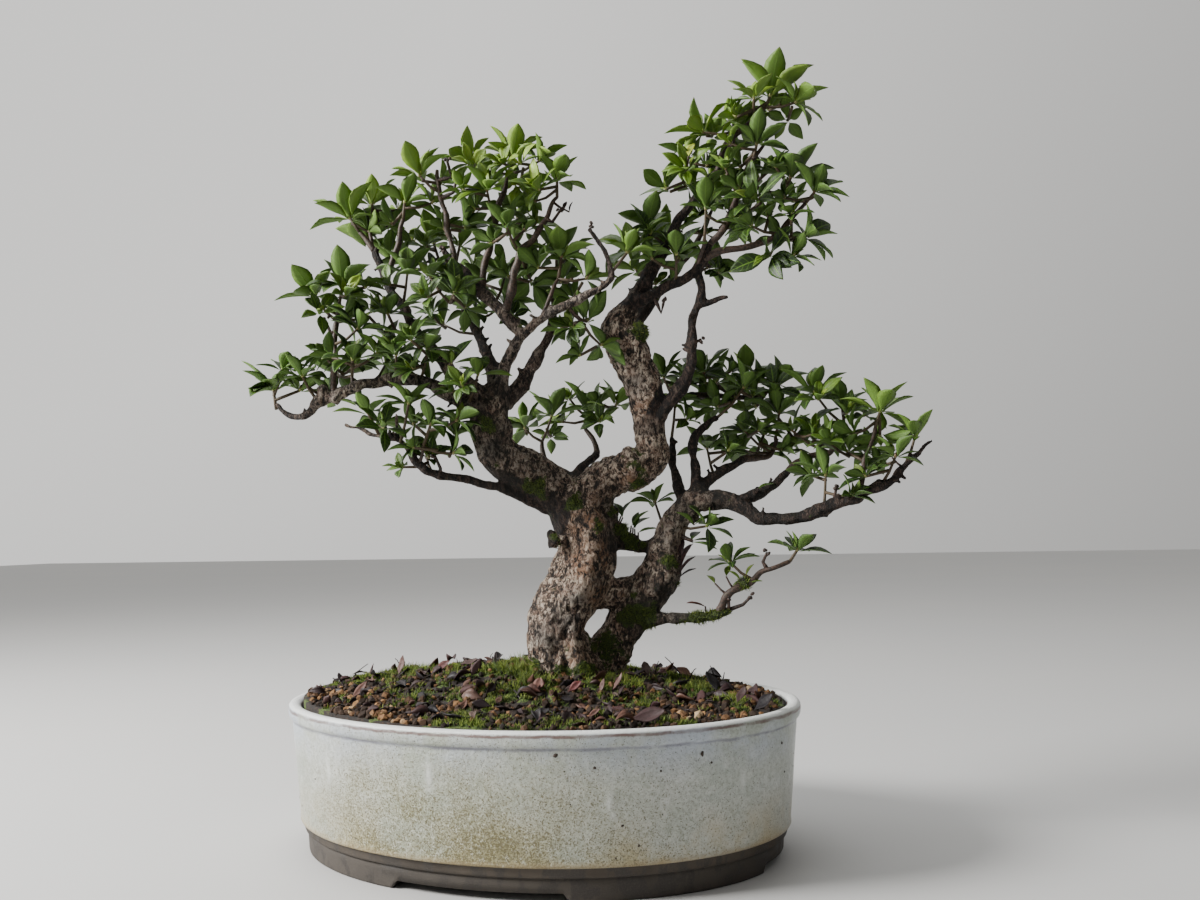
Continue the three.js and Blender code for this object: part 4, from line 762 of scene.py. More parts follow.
def addSpike(bundle, foot, way, length, width, turn, tone):
    # a blade of moss: three corners at the foot and one at the tip
    thirdTurn = 2.094
    side = unit(np.cross(way, (math.cos(turn), math.sin(turn), 0.3)))
    other = np.cross(way, side)
    corners = [foot + (side * math.cos(k * thirdTurn) + other * math.sin(k * thirdTurn)) * width
               for k in range(3)]
    addTo(bundle, corners + [foot + way * length], [], [(0, 2, 1), (0, 1, 3), (1, 2, 3), (2, 0, 3)],
          tone=[tone * 0.4] * 3 + [tone])


def makeSoilMoss(finish, dice):
    bundle = newBundle("tone")
    spots = spotsOnSoil(dice, soil["mossTufts"] * 4)
    mossy = mossOnSoil(spots)
    stretch = 1 + nearSpots(spots, soil["tall"]) * 0.9
    chosen = mossy > dice.uniform(0.35, 0.9, len(spots))
    for spot, much, more in list(zip(spots[chosen], mossy[chosen], stretch[chosen]))[:soil["mossTufts"]]:
        tall, tone = dice.uniform(*soil["tuftHeight"]) * (0.6 + 0.5 * much) * more, dice.random()
        for _ in range(soil["tuftBlades"]):
            foot = spot + dice.normal(size=3) * (1.0, 1.0, 0) - up * 0.4
            way = unit(np.array([*dice.normal(size=2) * 0.6, 1.0]))
            addSpike(bundle, foot, way, tall * dice.uniform(0.5, 1.15), dice.uniform(0.2, 0.42),
                     dice.uniform(*anyAngle), np.clip(tone * 0.75 + dice.random() * 0.5 - 0.1, 0, 1))
    makePiece("soilMoss", bundle, [finish], smooth=False)


# a leaf blade, closed and thin, folded along its midrib: rows of five points on top and three under them

leafShape = {"along": np.array([0.07, 0.18, 0.32, 0.48, 0.64, 0.8, 0.92]),
             "width": np.array([0.1, 0.42, 0.8, 1.0, 0.93, 0.6, 0.27]),
             "across": np.array([-1, -0.52, 0, 0.52, 1]), "halfWidth": 0.225, "thickness": 0.4,
             "top": [0, 1, 2, 3, 4], "under": [0, 5, 6, 7, 4], "stride": 8}


def bladeFaces():
    rows, stride = len(leafShape["along"]), leafShape["stride"]
    quads, ends = [], []
    for columns, flip in ((leafShape["top"], False), (leafShape["under"], True)):
        for row in range(rows - 1):
            for left, right in zip(columns, columns[1:]):
                near, far = row * stride, (row + 1) * stride
                quad = (near + left, near + right, far + right, far + left)
                quads.append(quad[::-1] if flip else quad)
    for pole, row in ((rows * stride, 0), (rows * stride + 1, rows - 1)):
        for columns in (leafShape["top"], leafShape["under"]):
            flip = (row == 0) == (columns is leafShape["top"])
            for left, right in zip(columns, columns[1:]):
                near, far = row * stride + left, row * stride + right
                ends.append((pole, far, near) if flip else (pole, near, far))
    return np.array(quads), np.array(ends)


bladeQuads, bladeTris = bladeFaces()


def bladePoints(root, middle, tip, across, face, length, fold=0.35, bend=0.0, wave=0.0, breadth=1.0):
    along = leafShape["along"]
    centre = (root * ((1 - along) * (1 - 2 * along))[:, None] + middle * (4 * along * (1 - along))[:, None]
              + tip * (along * (2 * along - 1))[:, None]) + across * (bend * length * along * along)[:, None]
    half = leafShape["width"] * leafShape["halfWidth"] * length * breadth
    spread = leafShape["across"]
    ripple = np.sin(along * 9 + wave * 6)[:, None] * wave * np.abs(spread)[None, :]
    raised = half[:, None] * (np.abs(spread)[None, :] * fold + ripple * 0.25)
    top = centre[:, None] + across * (half[:, None] * spread)[..., None] + face * raised[..., None]
    under = top[:, 1:4] - face * leafShape["thickness"] * 0.5
    top[:, 1:4] += face * leafShape["thickness"] * 0.5
    ends = np.stack([root, tip + across * bend * length])
    points = np.concatenate([np.concatenate([top, under], axis=1).reshape(-1, 3), ends])
    return points


def bladeValues():
    # how far along and across the leaf each point is, and whether it is on the underside
    rows, spread = len(leafShape["along"]), leafShape["across"]
    return {"leafAlong": np.append(np.repeat(leafShape["along"], leafShape["stride"]), (0, 1)),
            "leafAcross": np.append(np.tile(np.append(spread, spread[1:4]), rows), (0, 0)),
            "leafUnder": np.append(np.tile([0.4, 0, 0, 0, 0.4, 1, 1, 1], rows), (0.5, 0.5))}


bladeLooks = bladeValues()


def addDeadLeaf(bundle, spot, length, breadth, turn, rise, roll, curl, fold, dice, **looks):
    way = heading(turn, rise)
    level = unit(np.cross(up, way))
    across = level * math.cos(roll) + np.cross(way, level) * math.sin(roll)
    face = np.cross(way, across)
    points = bladePoints(spot, spot + way * length * 0.5 + face * length * curl, spot + way * length * 0.95,
                         across, face, length, fold, dice.normal() * 0.07, dice.uniform(0, 1), breadth)
    addTo(bundle, points, bladeQuads, bladeTris, **looks)


def makeLitter(finish, dice):
    bundle = newBundle("tone", "red", "pale")
    spots = spotsOnSoil(dice, soil["litter"], 0.95)
    fewer = nearSpots(spots, soil["bare"]) * 0.5 + mossOnSoil(spots) * 0.6
    for spot in spots[fewer < dice.uniform(0.2, 1.1, len(spots))]:
        length = dice.uniform(*soil["litterLength"])
        turn, rise = dice.uniform(*anyAngle), abs(dice.normal()) * 0.35
        way = np.array([math.cos(turn), math.sin(turn), math.sin(rise) * 0.4])
        root = spot - way * length * 0.5 + up * dice.uniform(0.8, 2.4)
        addDeadLeaf(bundle, root, length, dice.uniform(0.75, 1.2), turn, rise, dice.normal() * 0.7,
                    dice.uniform(-0.26, 0.2), dice.uniform(-0.2, 1.6), dice, tone=dice.random(),
                    red=max(0, dice.normal() * 0.15), pale=float(dice.random() < 0.04) * 0.2)
    for x, y, lift, length, breadth, turn, rise, roll, tone, red, pale in soil["leaves"]:
        addDeadLeaf(bundle, onGround(x, y, lift), length, breadth, math.radians(turn), math.radians(rise),
                    math.radians(roll), -0.1, 0.5, dice, tone=tone, red=red, pale=pale)
    for spot in spotsOnSoil(dice, soil["sticks"], 0.93):
        turn, length = dice.uniform(*anyAngle), dice.uniform(*soil["stickLength"])
        way = np.array([math.cos(turn), math.sin(turn), dice.uniform(-0.1, 0.5)])
        line = [(spot + up * 1.2 + way * length * (t - 0.5) + dice.normal(size=3) * 0.3, soil["stickRadius"])
                for t in (0, 0.35, 0.7, 1)]
        addTo(bundle, *tube(line, 6), tone=dice.random() * 0.6)
    for x, y, length, lean in soil["upright"]:
        foot = onGround(x, y, -0.5)
        line = [(foot + (lean * length * t * t, 0, length * t) + dice.normal(size=3) * 0.25, 0.55 - 0.3 * t)
                for t in (0, 0.3, 0.6, 0.85, 1)]
        addTo(bundle, *tube(line, 6), tone=0.15)
    makePiece("leafLitter", bundle, [finish])


soilDice = np.random.default_rng(soil["seed"])
mossBlade = makeMossFinish()
deadLeaf = makeDeadLeafFinish()
makeGround(makeSoilFinish())
makeGrains(makeGrainFinish(), soilDice)
makeSoilMoss(mossBlade, soilDice)
makeLitter(deadLeaf, soilDice)
print("soil made")

# wood

# Each limb is a route of x, y, z, radius.
limbs = {
    "trunk": [(20, 8, 64, 23), (21, 6, 80, 25.5), (17, 3, 99, 20.5), (11, 0, 117, 17), (15, 0, 132, 16.5),
        (24, 2, 146, 18.5), (29, 4, 160, 18.5), (29, 4, 175, 17), (24, 4, 190, 17), (21, 4, 204, 13)],
    "secondTrunk": [(33, 10, 80, 15.5), (37, 9, 98, 12.5), (46.5, 8, 114, 11.5), (58, 6, 132, 12.5),
        (71.5, 3, 150, 12.5), (76, 2, 168, 9.5), (82, 0, 183, 8), (93, -3, 196, 7)],
    "trunkJoin": [(28, 4, 139, 9), (46, 5, 141, 8.5), (62, 5, 144, 9)],
    "bridge": [(38, 7, 174, 7), (52, 11, 169, 5), (64, 9, 168, 5), (75, 4, 171, 6)],
    "leftLimb": [(22, 4, 190, 14), (9, 1, 203, 13), (-5, -4, 212, 12.5), (-19, -7, 221, 11.5),
        (-25, -9, 234, 11), (-25, -10, 248, 10.5), (-20, -10, 262, 8)],
    "rightLimb": [(27, 4, 196, 14), (42, 3, 208, 12), (59, 2, 213, 12), (69, 1, 222, 10.5), (68, 0, 234, 9),
        (67, 0, 247, 9), (65, 0, 262, 11), (57, 1, 283, 13), (51, 2, 297, 10.5), (60, 3, 314, 6),
        (67, 4, 326, 5)],
    "apexLimb": [(62, 3, 317, 5.5), (70, 4, 331, 4.5), (78, 5, 344, 4), (87, 4, 362, 3.5),
        (96, 3, 372, 3.4), (105, 1, 384, 3), (112, 0, 391, 2.9)],
    "leftArm": [(-27, -10, 246, 6.5), (-38, -13, 251, 5), (-51, -16, 259, 4.5), (-64, -19, 266, 4.2),
        (-78, -21, 267, 4.2), (-91, -22, 265, 4), (-103, -22, 261, 4), (-114, -21, 257, 3.7),
        (-123, -20, 255, 4), (-127, -19, 250, 3.2), (-135, -18, 247, 2.6), (-143, -17, 249, 2),
        (-148, -16, 254, 1.5)],
    "longShoot": [(-20, -10, 258, 6.5), (-17, -14, 270, 4.5), (-13, -16, 280, 4), (-9, -18, 287, 3.8),
        (-3, -20, 292, 4), (6, -22, 299, 3.5), (17, -24, 305, 3.2), (31, -25, 311, 3), (44, -26, 319, 2.6),
        (47, -26, 326, 2.2), (43, -26, 338, 1.8), (35, -26, 350, 1.4)],
    "crownRight": [(-17, -8, 252, 6.5), (-12, -5, 259, 5.5), (-5, -2, 268, 5), (3, 2, 283, 4.5),
        (9, 5, 295, 3.5), (12, 8, 308, 2.8)],
    "crownLeft": [(-4, -19, 291, 4), (-16, -14, 304, 4.5), (-29, -8, 319, 4.5), (-37, -6, 328, 4),
        (-47, -4, 337, 3.2), (-54, -4, 348, 2)],
    "outerLeft": [(-28, -11, 255, 6.5), (-43, -10, 268, 5), (-57, -6, 283, 4.5), (-70, -2, 299, 4),
        (-77, 1, 312, 3.6), (-87, 4, 325, 3.5), (-91, 6, 337, 3), (-96, 8, 349, 2.6)],
    "lowLeft": [(10, 0, 191, 5), (-10, -7, 199, 3.5), (-29, -11, 206, 3), (-47, -16, 210, 3),
        (-59, -20, 213, 3), (-67, -22, 219, 3), (-70, -23, 224, 2.6), (-76, -24, 231, 2.2),
        (-86, -24, 234, 1.9), (-97, -23, 237, 1.5), (-107, -22, 241, 1.2)],
    "lowLeftStub": [(-76, -24, 231, 1.5), (-77, -25, 246, 1)],
    "frontShoot": [(68, -2, 238, 6), (85, -8, 259, 4.5), (92, -12, 272, 4), (93, -15, 285, 3.6),
        (94, -17, 298, 3.5), (97, -17, 307, 3.2), (99, -17, 318, 3), (97, -13, 328, 3)],
    "frontStub": [(97, -17, 306, 2.4), (114, -19, 311, 1.6)],
    "highRight": [(58, 2, 312, 5), (74, -6, 318, 3.8), (87, -10, 322, 3.6), (95, -13, 327, 3.5),
        (102, -14, 335, 3.2), (105, -14, 343, 2.9)],
    "rearRight": [(58, 4, 288, 7), (64, 18, 306, 4.6), (76, 28, 324, 3.6), (90, 32, 341, 2.8)],
    "rearLeft": [(-22, -6, 260, 6.5), (-27, 10, 280, 4.4), (-36, 24, 300, 3.7), (-45, 32, 318, 2.8)],
    "longArm": [(92, -3, 195, 7.5), (104, -6, 194, 6.5), (113, -8, 193, 6), (121, -11, 188, 5),
        (131, -14, 183, 4.6), (142, -16, 182, 4.5), (153, -18, 184, 4.4), (165, -20, 187, 4.2),
        (175, -21, 192, 4), (184, -22, 194, 3.8), (193, -22, 199, 3.5), (204, -22, 203, 3),
        (209, -22, 209, 2.5), (217, -22, 217, 2), (228, -21, 225, 1.4)],
    "midArm": [(116, -8, 192, 5), (128, -4, 197, 4), (139, 0, 202, 3.5), (149, 4, 210, 3)],
    "innerArm": [(94, -3, 198, 6), (102, 3, 205, 4), (114, 9, 213, 3.5), (125, 14, 219, 2.9)],
    "innerRiser": [(94, -2, 198, 5), (95, 3, 215, 3.5), (94, 7, 230, 3.2), (99, 9, 237, 3),
        (109, 11, 244, 2.6)],
    "thinRiser": [(87, 0, 192, 5), (83, 8, 210, 3.2), (81, 14, 222, 2.8), (82, 18, 233, 2.4)],
    "lowRight": [(58, 2, 126, 6), (72, -3, 126, 4.3), (82, -5, 126, 4), (92, -8, 127, 3.6),
        (103, -11, 128, 3.4), (110, -12, 131, 2.6)],
    "backArm": [(26, 6, 198, 9), (23, 16, 209, 5), (29, 26, 218, 3.6), (36, 36, 225, 2.9)],
    "backFork": [(23, 15, 208, 4), (12, 26, 216, 2.8)],
    "rearArm": [(66, 4, 244, 6.5), (74, 16, 252, 4.2), (85, 26, 257, 3.5), (98, 33, 260, 2.9)],
}

wood = {"voxel": 1.07, "smoothing": 1, "lumps": 1.3, "plates": 1.7, "slim": 0.7, "knots": 0.26,
        "mossBlades": 9000, "mossFrom": 84, "seed": 77,
        "spurGap": 17, "spurLength": (1.2, 3.8), "spurWood": (1.6, 6.5),
        # radii at which wood starts to be rough, knotted and twig-coloured, and over which it gets so
        "thinnest": 2.5, "stoutOver": 9, "slenderBelow": 9.5, "slenderOver": 6,
        "twigBelow": 8.5, "twigOver": 4,
        # how far the oldest limbs swell out in lobes
        "lobes": {"trunk": 0.07, "secondTrunk": 0.05, "leftLimb": 0.05, "rightLimb": 0.05},
        # x, y, z, radius of what stands out from the limbs
        "knobs": [(11, -9, 171, 5.2), (9, -7, 176, 3.6), (1, -4, 109, 9), (63, -6, 294, 6.5),
                  (-120, -21, 261, 4.4), (-112, -22, 256, 4.2), (119, -15, 146, 4.2), (56, -2, 214, 13.5),
                  (30, -6, 166, 9), (90, -4, 186, 6.5), (-22, -8, 236, 11.5), (67, 2, 324, 6.2),
                  (50, 5, 112, 7), (72, -2, 166, 8.5), (40, 8, 93, 11), (24, -10, 92, 12), (43, 9, 187, 7),
                  (48, 11, 177, 7), (56, 12, 171, 6), (40, 9, 195, 7)],
        # x, y, z, radius, depth of the hollows
        "hollows": [(17, -14, 168, 4.5, 3.2), (54, -10, 289, 3.2, 3.5), (44, -8, 204, 7, 2),
                    (34, -14, 198, 5, 1.6), (32, -9, 112, 6, 2.5), (22, -16, 150, 4, 1.8),
                    (66, -11, 160, 4, 1.5)],
        # x, y, z, radius of the mossy places, the rusty ones, the dark ones (painted shade) and the grey ones
        "moss": [(43, 4, 187, 9), (48, 5, 177, 9), (56, 6, 171, 8), (84, -8, 133, 7), (46, -10, 120, 6),
                 (-14, -14, 206, 6), (16, -16, 110, 5), (-2, -12, 100, 8), (70, -8, 190, 6),
                 (62, -12, 236, 5), (11, -10, 172, 7), (7, -8, 184, 6), (24, -12, 195, 8),
                 (37, -14, 184, 7), (61, -10, 215, 8), (57, -6, 206, 7), (57, -6, 130, 11),
                 (36, -4, 114, 9), (54, 6, 175, 9), (11, -20, 98, 11), (30, -18, 98, 10), (42, -6, 112, 8),
                 (0, -14, 202, 7), (94, -10, 127, 9), (12, -12, 145, 5), (66, -2, 137, 8), (76, -4, 160, 8),
                 (63, -8, 294, 8), (-25, -18, 240, 6), (38, 18, 100, 16), (10, 22, 110, 16),
                 (25, 20, 150, 12), (119, -15, 146, 7), (28, 18, 192, 9), (60, 12, 220, 9)],
        "rust": [(32, -14, 181, 12), (28, -16, 158, 11), (40, -12, 166, 10), (36, -14, 142, 9),
                 (56, -8, 205, 9), (66, -10, 246, 8), (20, -12, 108, 7)],
        "dark": [(-12, -8, 216, 21), (3, -12, 206, 14), (-25, -12, 236, 22), (-22, -12, 254, 12),
                 (88, -4, 188, 12), (40, 4, 196, 12), (41, -2, 172, 9), (44, 8, 186, 10), (52, 10, 174, 9),
                 (36, -8, 172, 6), (34, -12, 150, 6), (104, -8, 194, 14), (130, -14, 184, 18)],
        "grey": [(17, -18, 128, 10), (6, -12, 118, 9), (24, -16, 140, 7), (-60, -19, 265, 22),
                 (-100, -22, 261, 22), (60, -8, 264, 8), (-24, -16, 226, 10), (-7, -14, 282, 13),
                 (2, -14, 294, 12), (-17, -12, 272, 10), (30, -20, 315, 15), (13, -20, 301, 12),
                 (-16, -14, 311, 9), (78, -5, 176, 8), (80, -6, 126, 14), (98, -11, 128, 10)]}


def makeBark():
    use = Finish("oldBark")
    fine = use.noise(540.0, 6.0, 0.72, 0.8, use.stretched(1.0, 1.0, 0.55))
    broad = use.noise(190.0, 5.0, 0.7, 0.6)
    crust = use.plus(use.times(fine, 1.75), use.times(broad, 0.45))
    # the cracks come out darker than the plates: partly the bark's own colour, partly painted shade in the
    # cracks
    crust = use.plus(crust, use.band(use.value("crest"), 0.0, 1.0, -0.64, -0.43))
    plates = use.band(crust, 0.5, 0.6)
    twigTint = use.ramp(crust, [(0.48, (0.008, 0.005, 0.004)), (0.62, (0.04, 0.023, 0.017)),
                                (0.8, (0.13, 0.082, 0.062))])
    colour = use.ramp(crust, [(0.40, (0.009, 0.006, 0.004)), (0.48, (0.055, 0.036, 0.025)),
                              (0.56, (0.17, 0.112, 0.08)), (0.64, (0.44, 0.32, 0.235)),
                              (0.73, (0.92, 0.78, 0.63))])
    blush = use.times(use.band(use.noise(130.0, 5.0, 0.7), 0.47, 0.6), plates)
    rusty = use.times(use.times(use.value("rust"), use.band(broad, 0.42, 0.54)), plates)
    colour = use.layered(colour, [
        (blush, (0.33, 0.155, 0.095), 0.42),
        (rusty, (0.36, 0.16, 0.065), 0.8),
        (use.times(use.value("grey"), use.band(crust, 0.46, 0.6)), (0.17, 0.165, 0.15), 0.65),
        (use.value("thin"), twigTint),
        # painted shade: near black where the wood is darkened
        (use.value("damp"), (0.012, 0.012, 0.007))])
    return use.done(use.grown(colour), 0.8, crust, 1.0, 0.005)


def makeTwigBark():
    use = Finish("twigBark")
    grain = use.noise(900.0, 4.0, 0.5)
    colour = use.blend(use.band(grain, 0.38, 0.62), (0.012, 0.007, 0.005), (0.075, 0.042, 0.030))
    return use.done(use.blend(use.value("young"), colour, (0.10, 0.075, 0.026)), 0.6, grain, 0.5, 0.0005)


def nearPlaces(points, label):
    return nearSpots(points, [(*turned(place), radius) for *place, radius in wood[label]])


def mossOnWood(points, normals):
    # more moss low down, on the second trunk and at the back
    patchy = layeredNoise(points, 8, 4, 31) * 0.95
    low = np.clip((112 - points[:, 2]) / 40, 0, 1) * 0.4
    second = np.clip((points[:, 0] - 44) / 12, 0, 1) * np.clip((160 - points[:, 2]) / 30, 0, 1) * 0.3
    shade = np.clip(normals[:, 1] * 0.25, 0, 1)
    return np.clip(nearPlaces(points, "moss") * 0.8 + patchy + low + second + shade - 0.14, 0, 1)


def knotted(line):
    # joints, swellings and small kinks, more of them on the thinner wood
    points = np.array([point for point, radius in line])
    swell = softNoise(points, 6.5, 61) + softNoise(points, 3.5, 65) * 0.5
    shift = np.stack([softNoise(points, 8, 62 + axis) for axis in range(3)], axis=1)
    bent = []
    for index, (point, radius) in enumerate(line):
        slender = clipped((wood["slenderBelow"] - radius) / wood["slenderOver"])
        inner = min(index, len(line) - 1 - index, 2) / 2
        slim = radius - wood["slim"] * slender * min(radius / 4, 1)
        bent.append((point + shift[index] * slender * min(radius, 1.2) * inner,
                     slim * (1 + swell[index] * wood["knots"] * slender)))
    return bent


def addSpurs(skins, line, dice):
    # dead stubs and old bud scars along the thinner branches
    way = unit(line[-1][0] - line[0][0])
    thinnest, thickest = wood["spurWood"]
    for (point, radius), (later, _) in zip(line[1:], line[2:]):
        isThin = thinnest < radius < thickest
        if not isThin or dice.random() > np.linalg.norm(later - point) / wood["spurGap"]:
            continue
        aside = dice.normal(size=3) + up * 0.5
        aside = unit(aside - way * aside.dot(way) + way * 0.5)
        length = dice.uniform(*wood["spurLength"])
        tip = point + aside * (radius + length)
        bow = point + aside * (radius + length * 0.5) + up * length * 0.12
        addTo(skins, *tube([(point, 1.5), (bow, 1.15), (tip, 1.0)], 7))
        addTo(skins, lumpCorners * 1.35 + tip, [], lumpFaces)


def growSkin(bark, dice):
    # one rough skin over all limbs, knobs and spurs, and the stations that it was grown from
    skins, stations = newBundle(), []
    for name, route in limbs.items():
        line = knotted(stationsAlong(route, 6))
        stations += line
        addTo(skins, *tube(line, 40 if name in wood["lobes"] else 18, wood["lobes"].get(name, 0)))
        addSpurs(skins, line, dice)
    for *place, radius in wood["knobs"]:
        addTo(skins, lumpCorners * radius + turned(place), [], lumpFaces)
    rough = makePiece("livingWood", skins, [bark])
    swell = rough.modifiers.new("oneSkin", "REMESH")
    swell.mode, swell.voxel_size, swell.use_smooth_shade = "VOXEL", wood["voxel"] * 0.001, True
    relax = rough.modifiers.new("relax", "SMOOTH")
    relax.iterations = wood["smoothing"]
    applyModifiers(rough)
    return rough, stations


def girthsAt(points, stations):
    tree = KDTree(len(stations))
    for index, (point, radius) in enumerate(stations):
        tree.insert(point, index)
    tree.balance()
    return np.array([stations[tree.find(point)[1]][1] for point in points])


def makeWood(bark, dice):
    rough, stations = growSkin(bark, dice)
    mesh = rough.data
    points, normals = np.zeros(len(mesh.vertices) * 3), np.zeros(len(mesh.vertices) * 3)
    mesh.vertices.foreach_get("co", points)
    mesh.vertices.foreach_get("normal", normals)
    points = (points.reshape(-1, 3) - potMiddle) * 1000
    normals = normals.reshape(-1, 3)
    radius = girthsAt(points, stations)
    stout = np.clip((radius - wood["thinnest"]) / wood["stoutOver"], 0, 1)
    relief = layeredNoise(points, 19, 2, 3) * wood["lumps"] * 1.6 * stout
    # rough plates and lumps, parted by cracks that run mostly along the trunk
    long = points * (1, 1, 0.62)
    crest = np.clip(np.abs(layeredNoise(long, 8, 2, 9)) * 3.4, 0, 1) * 0.5
    crest += np.clip(np.abs(layeredNoise(long, 4.2, 2, 12)) * 3.0, 0, 1) * 0.5
    crest = np.clip(crest + softNoise(points, 2.2, 15) * 0.22, 0, 1)
    relief += (crest - 0.72) * wood["plates"] * (0.22 + stout * 0.78)
    for *place, reach, depth in wood["hollows"]:
        away = np.linalg.norm(points - turned(place), axis=1)
        relief -= depth * np.exp(-(away / reach) ** 2)
    points = points + normals * relief[:, None]
    mesh.vertices.foreach_set("co", inFrame(points).ravel())
    moss = mossOnWood(points, normals)
    greyed = nearPlaces(points, "grey") * 1.3
    patch = 0.7 + layeredNoise(points, 6, 3, 51)
    # painted shade: the second trunk is darkened up to its fork, and so are the dark places
    damp = np.clip((points[:, 0] - 46) / 14, 0, 1) * np.clip((185 - points[:, 2]) / 30, 0, 1)
    damp = np.maximum(damp, nearPlaces(points, "dark") * 0.9)
    setValues(mesh, "moss", moss)
    thin = np.clip((wood["twigBelow"] - radius) / wood["twigOver"], 0, 1)
    setValues(mesh, "thin", thin * (1 - np.clip(greyed, 0, 0.9)))
    setValues(mesh, "crest", crest)
    setValues(mesh, "damp", damp * np.clip(0.68 + layeredNoise(points, 12, 3, 55), 0, 0.84))
    setValues(mesh, "rust", np.clip(nearPlaces(points, "rust") * 1.3 * patch, 0, 1))
    setValues(mesh, "grey", np.clip(greyed * patch, 0, 1))
    mesh.update()
    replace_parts(rough, "wood")
    print("wood skin", len(mesh.polygons))
    return points, normals, moss


def makeWoodMoss(finish, dice, points, normals, moss):
    bundle = newBundle("tone")
    mossy = np.flatnonzero((moss > 0.5) & (points[:, 2] > wood["mossFrom"]))
    for index in dice.choice(mossy, wood["mossBlades"]):
        way = unit(normals[index] + up * 0.35 + dice.normal(size=3) * 0.35)
        foot = points[index] - normals[index] * 0.35 + dice.normal(size=3) * 0.25
        addSpike(bundle, foot, way, dice.uniform(0.7, 2.3) * (0.5 + moss[index]), dice.uniform(0.16, 0.3),
                 dice.uniform(*anyAngle), 0.15 + dice.random() * 0.8)
    makePiece("woodMoss", bundle, [finish], smooth=False)


woodDice = np.random.default_rng(wood["seed"])
woodSkin = makeWood(makeBark(), woodDice)
makeWoodMoss(mossBlade, woodDice, *woodSkin)
print("wood made")

# leafy sprays

